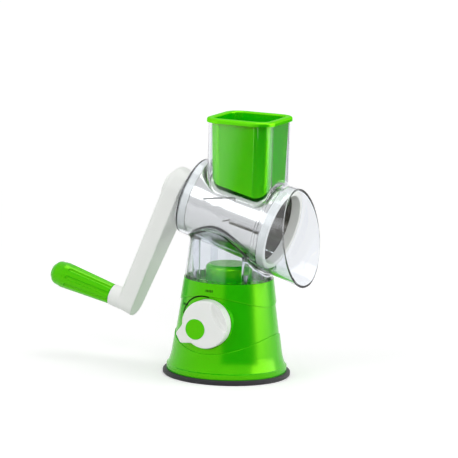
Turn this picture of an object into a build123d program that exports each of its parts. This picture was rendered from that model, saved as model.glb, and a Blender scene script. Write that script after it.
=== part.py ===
from build123d import *
import os
from math import cos, hypot, radians, sin, sqrt, tan

# Rotary drum grater that stands on a suction base, in millimetres.
# The origin is the middle of the suction cup's underside.
# +X points to the outlet, -X to the crank, -Y to the lock knob and +Z up.

# Clearances
SEAT_FIT = 0.05        # between fixed pieces that seat in one another
RUN_FIT = 0.06         # round a shaft that turns in its bore
SLIDE_FIT = 0.08       # round a post or shaft that slides in its bore
FREE_GAP = 0.4         # between pieces that pass one another
YOKE_PLAY = 0.35       # above and below the cam in its yoke

# Suction cup
CUP_RADIUS = 65.0
CUP_RIM_HEIGHT = 5.0
CUP_RIM_WIDTH = 11.5
CUP_RIM_ROUND = 1.2
CUP_SKIN = 2.5
CUP_BOSS_RADIUS = 14.0
CUP_BOSS_LIP = 2.0

# Base shell
FOOT_RADIUS = 61.2
FOOT_BAND = 6.0
FOOT_STEP = 1.3
WAIST_RADIUS = 56.1
WAIST_HEIGHT = 24.5
SHOULDER_RADIUS = 45.6
SHOULDER_HEIGHT = 100.0
SHELL_WALL = 2.6
RIM_WALL = 2.2
SPIGOT_DEPTH = 6.0
DECK_WALL = 3.0
DOME_RADIUS = 24.0
DOME_RISE = 20.0
DOME_ROUND = 5.0
PANEL_DEPTH = 1.0
PANEL_ROUND = 0.5
PANEL_TOP_HEIGHT = 86.5
PANEL_TOP_DROP = 20.5
PANEL_FOOT_HEIGHT = 29.3
PANEL_FOOT_RISE = 23.0

# Frame inside the base
FRAME_FLANGE = 4.5
FRAME_WALL = 3.5
FRAME_HUB_RADIUS = 22.0
FRAME_HUB_HEIGHT = 15.0
GUIDE_WALL = 3.4
GUIDE_TOP = 40.0
UPRIGHT_WIDTH = 24.0
UPRIGHT_THICKNESS = 6.0

# Screws
SCREW_RADIUS = 1.75
SCREW_HEAD_RADIUS = 3.3
SCREW_HEAD_HEIGHT = 2.0
SCREW_SLOT = 0.9
SCREW_GRIP = 13.0
SCREW_HOLE_SPARE = 1.0
FRAME_SCREW_CIRCLE = 49.5
FRAME_SCREWS = 4
FRAME_SCREW_START = 45.0
FRAME_SCREW_MARGIN = 1.2
FRAME_BOSS_RADIUS = 4.2
FRAME_BOSS_HEIGHT = 22.0
HOUSING_SCREW_X = 27.0
HOUSING_SCREW_Y = 21.0
HOUSING_BOSS_RADIUS = 3.8

# Lock knob and its cam
KNOB_HEIGHT = 60.0
KNOB_SEAT = 47.2
KNOB_RADIUS = 24.5
KNOB_THICKNESS = 12.0
KNOB_ROUND = 1.6
POINTER_TURN = 210.0
POINTER_REACH = 33.0
POINTER_TIP_WIDTH = 11.0
POINTER_ROOT_WIDTH = 21.0
POINTER_ROOT = 22.0
POINTER_BLEND = 2.5
POINTER_THICKNESS = 7.2
SCOOP_RADIUS = 40.0
SCOOP_START = 15.5
SCOOP_DEPTH = 5.0
SCOOP_SLOPE = 28.0
SCOOP_ROUND = 2.0
INLAY_RADIUS = 10.5
INLAY_OFFSET = 11.0
INLAY_DEPTH = 2.0
INLAY_PROUD = 0.4
PAD_MARGIN = 1.2
LOCK_TURN = 110.0
SHAFT_RADIUS = 8.0
SHAFT_SOCKET = 7.0
SHAFT_FLAT = 2.0
CAM_RADIUS = 4.0
CAM_THROW = 3.7
TAIL_RADIUS = 4.0
CLIP_WIDTH = 0.9
CLIP_RADIUS = 6.5
CLIP_GROOVE = 0.8
CLIP_MOUTH = 5.0
CLIP_LAND = 1.5
BEARING_LENGTH = 9.0

# Lift post
POST_RADIUS = 7.0
POST_FOOT_RADIUS = 11.0
POST_FOOT_HEIGHT = 2.0
YOKE_THICKNESS = 12.0
YOKE_WALL = 4.5
SPREADER_RADIUS = 20.0
SPREADER_THICKNESS = 1.2

# Drum axis, with its height measured up from the base's shoulder
AXIS_HEIGHT = 69.0
DRUM_TILT = 15.0

# Clear housing, with stations measured along the drum axis from the middle of the base,
# the skirt's top measured up from the base's shoulder and the chute's top from the drum axis
CLEAR_WALL = 2.4
SKIRT_RADIUS = 45.2
SKIRT_TAPER = 6.9
SKIRT_TOP = 56.0
SKIRT_BLEND = 4.0
BARREL_BACK = -43.4
BARREL_STEP = 48.0
BARREL_BACK_RADIUS = 40.0
BARREL_ROUND = 2.0
BARREL_STEP_RADIUS = 42.0
OUTLET_RADIUS = 44.8
OUTLET_FLARE = 2.9
OUTLET_MIDDLE = 81.6
OUTLET_SKEW = 22.6
OUTLET_LIP_ROUND = 0.9
RING_SEAT = 4.0
CHUTE_X = 18.0
CHUTE_WIDTH = 70.0
CHUTE_ROUND = 15.5
CHUTE_TOP = 92.5
CHUTE_BLEND = 7.0

# Pusher
PUSHER_WALL = 2.2
PUSHER_GAP = 0.9
PUSHER_DRAFT = 1.5
PUSHER_RIM_HEIGHT = 4.5
PUSHER_RIM_OVERHANG = 2.0
PUSHER_RIM_ROUND = 2.0
PUSHER_LIP_ROUND = 1.5
PUSHER_DRUM_GAP = 3.1
PUSHER_FLOOR = 2.5

# Drum
SHEET_THICKNESS = 0.7
SHEET_GAP = 1.6
SHEET_BACK = -38.0
SHEET_SEAT = 1.6
BACK_RING_GAP = 0.5
BACK_RING_LENGTH = 7.0
BACK_RING_WIDTH = 4.4
BACK_WALL_GAP = 0.8
FRONT_RING_LENGTH = 7.8
FRONT_RING_GAP = 0.6
FRONT_RING_WIDTH = 5.4
FRONT_RING_ROUND = 1.0
FRONT_SLEEVE = 2.0
SPOKES = 4
SPOKE_WIDTH = 8.0
DRUM_HUB_RADIUS = 11.0
DRUM_HUB_LENGTH = 30.0
BLADES_PER_ROW = 3
BLADE_LENGTH = 34.0
BLADE_WIDTH = 7.0
BLADE_WINDOW = 4.6
BLADE_RISE = 0.6
BACK_ROW_STATION = -2.3
BACK_ROW_TURN = -73.0
BACK_ROW_SLANT = 22.0
FRONT_ROW_STATION = 33.0
FRONT_ROW_TURN = -101.0
FRONT_ROW_SLANT = 1.5
SLIT_LENGTH = 9.0
SLIT_WIDTH = 1.4
SLIT_STATION = 12.5
SLIT_TURN = -92.0
SLIT_SLANT = 30.0

# Crank and drive shaft
BUSH_WALL = 3.4
BUSH_FLANGE = 2.5
BUSH_FLANGE_WIDTH = 7.0
JOURNAL_RADIUS = 7.0
CRANK_HEX = 13.0
DRUM_HEX = 11.4
PILOT_RADIUS = 5.2
PILOT_LENGTH = 8.0
DRUM_SHAFT_LENGTH = 21.0
SNUG_RING_WIDTH = 2.0
SNUG_RING_DEPTH = 1.4
NECK_RADIUS = 13.0
NECK_LENGTH = 5.0
ARM_LEAN = 8.0
ARM_REACH = 131.0
ARM_THICKNESS = 20.0
ARM_HUB_RADIUS = 22.0
ARM_TIP_RADIUS = 13.2
ARM_OUTER_ROUND = 7.0
ARM_INNER_ROUND = 1.5
HUB_RECESS_RADIUS = 9.5
HUB_RECESS_DEPTH = 7.0
WASHER_THICKNESS = 1.2
HUB_BOSS_RADIUS = 14.0
HUB_BOSS_RISE = 2.0
CAP_DOME = 1.2
BOSS_LENGTH = 10.0
BOSS_TIP_RADIUS = 11.0

# Grip
GRIP_LENGTH = 68.6
GRIP_ROOT_RADIUS = 10.6
GRIP_BELLY_RADIUS = 13.4
GRIP_BELLY = 56.0
GRIP_END_RADIUS = 12.4
GRIP_END_ROUND = 5.5
GRIP_ROOT_ROUND = 1.0
FLUTES = 9
FLUTE_RADIUS = 2.2
FLUTE_DEPTH = 1.4
FLUTE_LENGTH = 51.0
PIN_RADIUS = 4.0
PIN_ROOT = 12.0
GRIP_POCKET_RADIUS = 8.0
GRIP_POCKET_DEPTH = 11.0
CAP_LENGTH = 4.0

# Heights and depths that follow from the sizes above
foot_top = CUP_RIM_HEIGHT + FOOT_BAND
cup_rim_inner = CUP_RADIUS - CUP_RIM_WIDTH
deck_top = SHOULDER_HEIGHT - SPIGOT_DEPTH
deck_under = deck_top - DECK_WALL
dome_top = deck_top + DOME_RISE
flange_top = CUP_RIM_HEIGHT + FRAME_FLANGE
foot_inner = FOOT_RADIUS - SHELL_WALL
post_foot_top = CUP_SKIN + POST_FOOT_HEIGHT
boss_lip_top = post_foot_top + CUP_BOSS_LIP
frame_hub_top = FRAME_HUB_HEIGHT + FRAME_WALL
frame_hub_mid = FRAME_HUB_HEIGHT + FRAME_WALL / 2
frame_dish = FRAME_SCREW_CIRCLE - SCREW_HEAD_RADIUS - FRAME_SCREW_MARGIN
knob_back = KNOB_SEAT + FREE_GAP
knob_front = knob_back + KNOB_THICKNESS
pad_radius = KNOB_RADIUS + PAD_MARGIN
spigot_radius = SHOULDER_RADIUS - RIM_WALL - SEAT_FIT
yoke_face = YOKE_THICKNESS / 2
upright_face = yoke_face + 2 * FREE_GAP
upright_back = upright_face + UPRIGHT_THICKNESS
cam_rest = 180 + LOCK_TURN / 2
cam_x = CAM_THROW * cos(radians(cam_rest))
cam_z = KNOB_HEIGHT + CAM_THROW * sin(radians(cam_rest))
slot_half_height = CAM_RADIUS + YOKE_PLAY
slot_half_width = CAM_THROW + CAM_RADIUS + FREE_GAP
yoke_half_height = slot_half_height + YOKE_WALL
yoke_half_width = slot_half_width + YOKE_WALL
yoke_foot = cam_z - yoke_half_height + YOKE_WALL / 2
post_top = 2 * cam_z - KNOB_HEIGHT - SHAFT_RADIUS - FREE_GAP
clip_face = upright_back + FREE_GAP / 4
tail_end = clip_face + CLIP_WIDTH + 2 * SEAT_FIT + CLIP_LAND
skirt_slope = tan(radians(SKIRT_TAPER))
axis_height = SHOULDER_HEIGHT + AXIS_HEIGHT
skirt_top = SHOULDER_HEIGHT + SKIRT_TOP
chute_top = axis_height + CHUTE_TOP
chute_bore = CHUTE_WIDTH - 2 * CLEAR_WALL
rim_width = CHUTE_WIDTH + 2 * PUSHER_RIM_OVERHANG
pusher_top = chute_top + PUSHER_RIM_HEIGHT
pusher_round = CHUTE_ROUND - CLEAR_WALL - PUSHER_GAP

# Stations along the drum axis that follow from the sizes above
back_wall_inner = BARREL_BACK + CLEAR_WALL
bush_outer = BARREL_BACK - BUSH_FLANGE
neck_front = bush_outer - FREE_GAP
arm_inner = neck_front - NECK_LENGTH
lean = radians(ARM_LEAN)
arm_outer = arm_inner - ARM_THICKNESS / cos(lean)
hub_outer = arm_outer - HUB_BOSS_RISE
recess_floor = hub_outer + HUB_RECESS_DEPTH
tip_outer = arm_outer - ARM_REACH * tan(lean)
boss_end = tip_outer - BOSS_LENGTH
grip_start = boss_end - FREE_GAP
grip_end = grip_start - GRIP_LENGTH
pocket_floor = grip_end + GRIP_POCKET_DEPTH
pin_end = pocket_floor - FREE_GAP
ring_seat = BARREL_STEP + RING_SEAT
ring_back = ring_seat + FREE_GAP
sheet_front = ring_back + SHEET_SEAT
ring_front = ring_back + FRONT_RING_LENGTH
back_ring_start = back_wall_inner + BACK_WALL_GAP
back_ring_end = back_ring_start + BACK_RING_LENGTH
bush_inner = back_wall_inner + BACK_WALL_GAP / 2
hex_end = back_ring_start + DRUM_SHAFT_LENGTH
pilot_end = hex_end + PILOT_LENGTH
hub_end = back_ring_start + DRUM_HUB_LENGTH
collar_back = BARREL_STEP - CLEAR_WALL

# Axes and planes
tilt = radians(DRUM_TILT)
drum_way = Vector(cos(tilt), 0, -sin(tilt))
down_way = Vector(-sin(tilt), 0, -cos(tilt))
axis_point = Vector(0, 0, axis_height)
DRUM_AXIS = Axis(axis_point, drum_way)
DRUM_SIDE = Plane(axis_point, x_dir=drum_way, z_dir=(0, -1, 0))
grip_point = axis_point + down_way * ARM_REACH
GRIP_AXIS = Axis(grip_point, drum_way)
GRIP_SIDE = Plane(grip_point, x_dir=drum_way, z_dir=(0, -1, 0))
ARM_FACE = Plane(
    axis_point + drum_way * arm_inner,
    x_dir=down_way * cos(lean) - drum_way * sin(lean),
    z_dir=-drum_way * cos(lean) - down_way * sin(lean),
)
pointer = radians(POINTER_TURN)
KNOB_FACE = Plane(
    (0, -knob_front, KNOB_HEIGHT),
    x_dir=(cos(pointer), 0, sin(pointer)),
    z_dir=(0, -1, 0),
)
dip = radians(SCOOP_SLOPE)
SCOOP_FLOOR = Plane(
    KNOB_FACE.origin - KNOB_FACE.x_dir * SCOOP_START - KNOB_FACE.z_dir * SCOOP_DEPTH,
    x_dir=KNOB_FACE.x_dir * cos(dip) - KNOB_FACE.z_dir * sin(dip),
    z_dir=KNOB_FACE.z_dir * cos(dip) + KNOB_FACE.x_dir * sin(dip),
)
skew = radians(OUTLET_SKEW)
MOUTH = Plane(
    axis_point + drum_way * OUTLET_MIDDLE,
    x_dir=(0, 1, 0),
    z_dir=drum_way * cos(skew) - down_way * sin(skew),
)


def drum_plane(station):
    """Plane square to the drum axis, its x pointing down and its y along +Y."""
    return Plane(axis_point + drum_way * station, x_dir=down_way, z_dir=drum_way)


def grip_plane(station):
    """Plane square to the grip's axis at a station along the drum axis."""
    return Plane(grip_point + drum_way * station, x_dir=down_way, z_dir=drum_way)


def section(plane, *points):
    """Closed section on a plane, from straight lines through the points."""
    with BuildSketch(plane) as outline:
        with BuildLine():
            Polyline(*points, close=True)
        make_face()
    return outline.sketch


def shell_radius(height):
    """Outer radius of the base shell's straight cone at a height."""
    share = (height - WAIST_HEIGHT) / (SHOULDER_HEIGHT - WAIST_HEIGHT)
    return WAIST_RADIUS + (SHOULDER_RADIUS - WAIST_RADIUS) * share


def on_cone(edge):
    """Tells an edge that lies on the base shell's cone from one on the panel's floor."""
    middle = edge @ 0.5
    return hypot(middle.X, middle.Y) > shell_radius(middle.Z) - PANEL_DEPTH / 2


def skirt_radius(height):
    """Outer radius of the clear skirt at a height."""
    return SKIRT_RADIUS - (height - SHOULDER_HEIGHT) * skirt_slope


def barrel_radius(station):
    """Outer radius of the barrel at a station along the drum axis."""
    share = (station - BARREL_BACK) / (BARREL_STEP - BARREL_BACK)
    return BARREL_BACK_RADIUS + (BARREL_STEP_RADIUS - BARREL_BACK_RADIUS) * share


def bore_radius(station):
    """Radius of the barrel's bore at a station along the drum axis."""
    return barrel_radius(station) - CLEAR_WALL


def sheet_radius(station):
    """Outer radius of the drum's steel sheet at a station along the drum axis."""
    return bore_radius(station) - SHEET_GAP


def outlet_radius(station):
    """Outer radius of the outlet collar at a station along the drum axis."""
    return OUTLET_RADIUS + (station - BARREL_STEP) * tan(radians(OUTLET_FLARE))


def pusher_width(height):
    """Width of the pusher's tapered body at a height."""
    return chute_bore - 2 * PUSHER_GAP - 2 * (chute_top - height) * tan(radians(PUSHER_DRAFT))


def blade_plane(station, turn):
    """Plane on the drum's sheet, its z pointing out and its x along the drum, turned from the top."""
    around = radians(turn)
    out_way = -down_way * cos(around) + Vector(0, 1, 0) * sin(around)
    fall = (sheet_radius(sheet_front) - sheet_radius(SHEET_BACK)) / (sheet_front - SHEET_BACK)
    foot = axis_point + drum_way * station + out_way * sheet_radius(station)
    return Plane(foot, x_dir=drum_way + out_way * fall, z_dir=out_way - drum_way * fall)


def panhead(plane, bearing, reach):
    """Slotted pan-head screw: its head stands behind the bearing face, its shank reaches ahead of it."""
    with BuildPart() as screw:
        with BuildSketch(plane.offset(bearing)):
            Circle(SCREW_HEAD_RADIUS)
        extrude(amount=-SCREW_HEAD_HEIGHT)
        fillet(screw.edges().sort_by(Axis(plane.origin, plane.z_dir))[0], SCREW_HEAD_HEIGHT * 0.4)
        with BuildSketch(plane.offset(bearing)):
            Circle(SCREW_RADIUS)
        extrude(amount=reach)
        with BuildSketch(plane.offset(bearing - SCREW_HEAD_HEIGHT)):
            Rectangle(2 * SCREW_HEAD_RADIUS, SCREW_SLOT)
        extrude(amount=SCREW_HEAD_HEIGHT / 2, mode=Mode.SUBTRACT)
    return screw.part


# Sizes that need the tapers
collar_end = OUTLET_MIDDLE + 2 * outlet_radius(OUTLET_MIDDLE) * tan(skew)
pad_root = sqrt((shell_radius(KNOB_HEIGHT) - SHELL_WALL) ** 2 - pad_radius**2) - FREE_GAP
pusher_arch = sheet_radius(BARREL_STEP) + PUSHER_DRUM_GAP
ring_radius = outlet_radius(ring_seat) - CLEAR_WALL - FRONT_RING_GAP
back_ring_radius = bore_radius(back_wall_inner) - BACK_RING_GAP
spoke_length = back_ring_radius - BACK_RING_WIDTH / 2
spoke_middle = spoke_length / 2
snug_ring_start = (hex_end + pilot_end - SNUG_RING_WIDTH) / 2
cap_depth = HUB_RECESS_DEPTH - WASHER_THICKNESS - SCREW_HEAD_HEIGHT - FREE_GAP
flute_slope = (GRIP_BELLY_RADIUS - GRIP_ROOT_RADIUS) / GRIP_BELLY
flute_foot = grip_point + drum_way * grip_start - down_way * (GRIP_ROOT_RADIUS + FLUTE_RADIUS - FLUTE_DEPTH)
FLUTE_START = Plane(flute_foot, x_dir=(0, 1, 0), z_dir=-drum_way - down_way * flute_slope)

os.makedirs("parts", exist_ok=True)

# Suction cup: a thick rubber rim, a thin skin across it and a boss that holds the lift post's foot
with BuildPart() as suction_cup:
    revolve(
        section(
            Plane.XZ,
            (0, 0),
            (CUP_RADIUS - CUP_RIM_ROUND, 0),
            (CUP_RADIUS, CUP_RIM_ROUND),
            (CUP_RADIUS, CUP_RIM_HEIGHT - CUP_RIM_ROUND),
            (CUP_RADIUS - CUP_RIM_ROUND, CUP_RIM_HEIGHT),
            (cup_rim_inner, CUP_RIM_HEIGHT),
            (cup_rim_inner - CUP_SKIN, CUP_SKIN),
            (CUP_BOSS_RADIUS, CUP_SKIN),
            (CUP_BOSS_RADIUS, boss_lip_top),
            (POST_RADIUS + SEAT_FIT, boss_lip_top),
            (POST_RADIUS + SEAT_FIT, post_foot_top + SEAT_FIT),
            (POST_FOOT_RADIUS + SEAT_FIT, post_foot_top + SEAT_FIT),
            (POST_FOOT_RADIUS + SEAT_FIT, CUP_SKIN),
            (0, CUP_SKIN),
        ),
        axis=Axis.Z,
    )
suction_cup.part.label = "suction_cup"
export_step(suction_cup.part, "parts/suction_cup.step")

# Base shell: a glossy cone on a foot band, closed by a deck with a dome inside its rim
with BuildSketch(Plane.XZ) as shell_section:
    with BuildLine():
        cone = Line((SHOULDER_RADIUS, SHOULDER_HEIGHT), (WAIST_RADIUS, WAIST_HEIGHT))
        flare = TangentArc(cone @ 1, (FOOT_RADIUS - FOOT_STEP, foot_top), tangent=cone % 1)
        Polyline(
            flare @ 1,
            (FOOT_RADIUS, foot_top - FOOT_STEP / 2),
            (FOOT_RADIUS, CUP_RIM_HEIGHT),
            (foot_inner, CUP_RIM_HEIGHT),
            (foot_inner, flange_top),
            (WAIST_RADIUS - SHELL_WALL, WAIST_HEIGHT),
            (shell_radius(deck_under) - SHELL_WALL, deck_under),
            (DOME_RADIUS - DECK_WALL, deck_under),
            (DOME_RADIUS - DECK_WALL, dome_top - DECK_WALL),
            (0, dome_top - DECK_WALL),
            (0, dome_top),
            (DOME_RADIUS, dome_top),
            (DOME_RADIUS, deck_top),
            (SHOULDER_RADIUS - RIM_WALL, deck_top),
            (SHOULDER_RADIUS - RIM_WALL, SHOULDER_HEIGHT),
            cone @ 0,
        )
    make_face()

# Shallow panel that runs round the cone, deep at the front and narrow at the sides
with BuildPart() as panel_recess:
    with BuildSketch(Plane.XZ):
        with BuildLine():
            crown = ThreePointArc(
                (-FOOT_RADIUS, PANEL_TOP_HEIGHT - PANEL_TOP_DROP),
                (0, PANEL_TOP_HEIGHT),
                (FOOT_RADIUS, PANEL_TOP_HEIGHT - PANEL_TOP_DROP),
            )
            hem = ThreePointArc(
                (-FOOT_RADIUS, PANEL_FOOT_HEIGHT + PANEL_FOOT_RISE),
                (0, PANEL_FOOT_HEIGHT),
                (FOOT_RADIUS, PANEL_FOOT_HEIGHT + PANEL_FOOT_RISE),
            )
            Line(crown @ 0, hem @ 0)
            Line(crown @ 1, hem @ 1)
        make_face()
    extrude(amount=CUP_RADIUS, both=True)
    revolve(
        section(
            Plane.XZ,
            (0, WAIST_HEIGHT),
            (WAIST_RADIUS - PANEL_DEPTH, WAIST_HEIGHT),
            (SHOULDER_RADIUS - PANEL_DEPTH, SHOULDER_HEIGHT),
            (0, SHOULDER_HEIGHT),
        ),
        axis=Axis.Z,
        mode=Mode.SUBTRACT,
    )

# Round pocket that gives the knob a flat upright seat in the cone
with BuildPart() as knob_pocket:
    revolve(
        section(
            Plane.XZ,
            (0, WAIST_HEIGHT),
            (WAIST_RADIUS - PANEL_DEPTH, WAIST_HEIGHT),
            (SHOULDER_RADIUS - PANEL_DEPTH, SHOULDER_HEIGHT),
            (0, SHOULDER_HEIGHT),
        ),
        axis=Axis.Z,
    )
    with BuildSketch(Plane.XZ.offset(pad_root)):
        with Locations((0, KNOB_HEIGHT)):
            Circle(pad_radius + SHELL_WALL)
    extrude(amount=CUP_RADIUS, mode=Mode.INTERSECT)
    with BuildSketch(Plane.XZ.offset(pad_root)):
        with Locations((0, KNOB_HEIGHT)):
            Circle(pad_radius)
    extrude(amount=KNOB_SEAT - pad_root)
    with BuildSketch(Plane.XZ.offset(KNOB_SEAT - SHELL_WALL)):
        with Locations((0, KNOB_HEIGHT)):
            Circle(pad_radius - SHELL_WALL)
    extrude(amount=-KNOB_SEAT, mode=Mode.SUBTRACT)
    with BuildSketch(Plane.XZ.offset(KNOB_SEAT)):
        with Locations((0, KNOB_HEIGHT)):
            Circle(SHAFT_RADIUS + RUN_FIT + SHELL_WALL)
    extrude(amount=-BEARING_LENGTH)

with BuildPart() as base_shell:
    revolve(shell_section.sketch, axis=Axis.Z)
    fillet(base_shell.edges().filter_by(GeomType.CIRCLE).sort_by(Axis.Z)[-1], DOME_ROUND)
    add(panel_recess.part, mode=Mode.SUBTRACT)
    fillet(base_shell.edges(Select.LAST).filter_by(GeomType.BSPLINE).filter_by(on_cone), PANEL_ROUND)
    with BuildSketch(Plane.XZ.offset(pad_root)):
        with Locations((0, KNOB_HEIGHT)):
            Circle(pad_radius)
    extrude(amount=CUP_RADIUS, mode=Mode.SUBTRACT)
    add(knob_pocket.part)
    with BuildSketch(Plane.XZ.offset(KNOB_SEAT)):
        with Locations((0, KNOB_HEIGHT)):
            Circle(pad_radius)
    extrude(amount=CUP_RADIUS, mode=Mode.SUBTRACT)
    with BuildSketch(Plane.XZ.offset(KNOB_SEAT)):
        with Locations((0, KNOB_HEIGHT)):
            Circle(SHAFT_RADIUS + RUN_FIT)
    extrude(amount=-BEARING_LENGTH, mode=Mode.SUBTRACT)
    with BuildSketch(Plane.XY.offset(flange_top)):
        with PolarLocations(FRAME_SCREW_CIRCLE, FRAME_SCREWS, start_angle=FRAME_SCREW_START):
            Circle(FRAME_BOSS_RADIUS)
    extrude(amount=FRAME_BOSS_HEIGHT)
    with BuildSketch(Plane.XY.offset(flange_top)):
        with PolarLocations(FRAME_SCREW_CIRCLE, FRAME_SCREWS, start_angle=FRAME_SCREW_START):
            Circle(SCREW_RADIUS + SEAT_FIT)
    extrude(amount=SCREW_GRIP + SCREW_HOLE_SPARE, mode=Mode.SUBTRACT)
    with BuildSketch(Plane.XY.offset(deck_under)):
        with GridLocations(2 * HOUSING_SCREW_X, 2 * HOUSING_SCREW_Y, 2, 2):
            Circle(SCREW_RADIUS + SEAT_FIT)
    extrude(amount=DECK_WALL, mode=Mode.SUBTRACT)
base_shell.part.label = "base_shell"
export_step(base_shell.part, "parts/base_shell.step")

# Base frame: a domed plate with a guide tube for the lift post and two uprights that carry the cam shaft
with BuildPart() as base_frame:
    revolve(
        section(
            Plane.XZ,
            (foot_inner - SEAT_FIT, CUP_RIM_HEIGHT),
            (frame_dish, CUP_RIM_HEIGHT),
            (FRAME_HUB_RADIUS, FRAME_HUB_HEIGHT),
            (POST_RADIUS + SLIDE_FIT, FRAME_HUB_HEIGHT),
            (POST_RADIUS + SLIDE_FIT, GUIDE_TOP),
            (POST_RADIUS + SLIDE_FIT + GUIDE_WALL, GUIDE_TOP),
            (POST_RADIUS + SLIDE_FIT + GUIDE_WALL, frame_hub_top),
            (FRAME_HUB_RADIUS, frame_hub_top),
            (frame_dish, flange_top),
            (foot_inner - SEAT_FIT, flange_top),
        ),
        axis=Axis.Z,
    )
    for face in (upright_face, -upright_back):
        with BuildSketch(Plane.XZ.offset(face)):
            with Locations((0, KNOB_HEIGHT)):
                Circle(UPRIGHT_WIDTH / 2)
            with Locations((0, (KNOB_HEIGHT + frame_hub_mid) / 2)):
                Rectangle(UPRIGHT_WIDTH, KNOB_HEIGHT - frame_hub_mid)
        extrude(amount=UPRIGHT_THICKNESS)
    with BuildSketch(Plane.XY.offset(FRAME_HUB_HEIGHT)):
        Circle(POST_RADIUS + SLIDE_FIT)
    extrude(amount=GUIDE_TOP, mode=Mode.SUBTRACT)
    with BuildSketch(Plane.XZ.offset(upright_face)):
        with Locations((0, KNOB_HEIGHT)):
            Circle(SHAFT_RADIUS + RUN_FIT)
    extrude(amount=UPRIGHT_THICKNESS, mode=Mode.SUBTRACT)
    with BuildSketch(Plane.XZ.offset(-upright_back)):
        with Locations((0, KNOB_HEIGHT)):
            Circle(TAIL_RADIUS + RUN_FIT)
    extrude(amount=UPRIGHT_THICKNESS, mode=Mode.SUBTRACT)
    with BuildSketch(Plane.XY.offset(CUP_RIM_HEIGHT)):
        with PolarLocations(FRAME_SCREW_CIRCLE, FRAME_SCREWS, start_angle=FRAME_SCREW_START):
            Circle(SCREW_RADIUS + SEAT_FIT)
    extrude(amount=FRAME_FLANGE, mode=Mode.SUBTRACT)
    with BuildSketch(Plane.XY.offset(CUP_RIM_HEIGHT)):
        with PolarLocations(FRAME_SCREW_CIRCLE, FRAME_SCREWS, start_angle=FRAME_SCREW_START):
            Circle(SCREW_HEAD_RADIUS + SEAT_FIT)
    extrude(amount=SCREW_HEAD_HEIGHT + SEAT_FIT, mode=Mode.SUBTRACT)
base_frame.part.label = "base_frame"
export_step(base_frame.part, "parts/base_frame.step")

# Four screws that hold the frame up against the shell's bosses
frame_screw_bearing = CUP_RIM_HEIGHT + SCREW_HEAD_HEIGHT + SEAT_FIT
with BuildPart() as frame_screws:
    with PolarLocations(FRAME_SCREW_CIRCLE, FRAME_SCREWS, start_angle=FRAME_SCREW_START):
        add(panhead(Plane.XY, frame_screw_bearing, flange_top - frame_screw_bearing + SCREW_GRIP))
frame_screws.part.label = "frame_screws"
export_step(frame_screws.part, "parts/frame_screws.step")

# Lift post: a round post with a foot in the rubber, a flat neck that passes the shaft and a yoke round the cam
with BuildPart() as lift_post:
    revolve(
        section(
            Plane.XZ,
            (0, CUP_SKIN),
            (POST_FOOT_RADIUS, CUP_SKIN),
            (POST_FOOT_RADIUS, post_foot_top),
            (POST_RADIUS, post_foot_top),
            (POST_RADIUS, post_top),
            (0, post_top),
        ),
        axis=Axis.Z,
    )
    with BuildSketch(Plane.XZ.offset(-yoke_face)):
        with Locations((0, cam_z)):
            RectangleRounded(2 * yoke_half_width, 2 * yoke_half_height, YOKE_WALL / 2)
            SlotOverall(2 * slot_half_width, 2 * slot_half_height, mode=Mode.SUBTRACT)
        with Locations((0, (post_top + yoke_foot) / 2)):
            Rectangle(2 * POST_RADIUS, yoke_foot - post_top)
    extrude(amount=YOKE_THICKNESS)
lift_post.part.label = "lift_post"
export_step(lift_post.part, "parts/lift_post.step")

# Spreader washer that sits on the rubber boss round the post
with BuildPart() as spreader:
    with BuildSketch(Plane.XY.offset(boss_lip_top)):
        Circle(SPREADER_RADIUS)
        Circle(POST_RADIUS + SEAT_FIT, mode=Mode.SUBTRACT)
    extrude(amount=SPREADER_THICKNESS)
spreader.part.label = "spreader"
export_step(spreader.part, "parts/spreader.step")

# Cam shaft: a flatted end in the knob, a front journal, an eccentric in the yoke and a tail with a clip groove
with BuildPart() as cam_shaft:
    with BuildSketch(Plane.XZ.offset(yoke_face + FREE_GAP)):
        with Locations((0, KNOB_HEIGHT)):
            Circle(SHAFT_RADIUS)
    extrude(amount=knob_back + SHAFT_SOCKET - SEAT_FIT - yoke_face - FREE_GAP)
    with BuildSketch(Plane.XZ.offset(-yoke_face - FREE_GAP)):
        with Locations((cam_x, cam_z)):
            Circle(CAM_RADIUS)
    extrude(amount=YOKE_THICKNESS + 2 * FREE_GAP)
    with BuildSketch(Plane.XZ.offset(-tail_end)):
        with Locations((0, KNOB_HEIGHT)):
            Circle(TAIL_RADIUS)
    extrude(amount=tail_end - yoke_face - FREE_GAP)
    with BuildSketch(Plane.XZ.offset(-clip_face - CLIP_WIDTH - 2 * SEAT_FIT)):
        with Locations((0, KNOB_HEIGHT)):
            Circle(TAIL_RADIUS)
            Circle(TAIL_RADIUS - CLIP_GROOVE, mode=Mode.SUBTRACT)
    extrude(amount=CLIP_WIDTH + 2 * SEAT_FIT, mode=Mode.SUBTRACT)
    with BuildSketch(Plane.XZ.offset(knob_back)):
        with Locations((0, KNOB_HEIGHT + 2 * SHAFT_RADIUS - SHAFT_FLAT)):
            Rectangle(2 * SHAFT_RADIUS, 2 * SHAFT_RADIUS)
    extrude(amount=SHAFT_SOCKET, mode=Mode.SUBTRACT)
cam_shaft.part.label = "cam_shaft"
export_step(cam_shaft.part, "parts/cam_shaft.step")

# Spring clip on the shaft's tail
with BuildPart() as shaft_clip:
    with BuildSketch(Plane.XZ.offset(-clip_face - CLIP_WIDTH - SEAT_FIT)):
        with Locations((0, KNOB_HEIGHT)):
            Circle(CLIP_RADIUS)
            Circle(TAIL_RADIUS - CLIP_GROOVE + SEAT_FIT, mode=Mode.SUBTRACT)
        with Locations((0, KNOB_HEIGHT - CLIP_RADIUS)):
            Rectangle(CLIP_MOUTH, 2 * CLIP_RADIUS, mode=Mode.SUBTRACT)
    extrude(amount=CLIP_WIDTH)
shaft_clip.part.label = "shaft_clip"
export_step(shaft_clip.part, "parts/shaft_clip.step")

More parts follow.
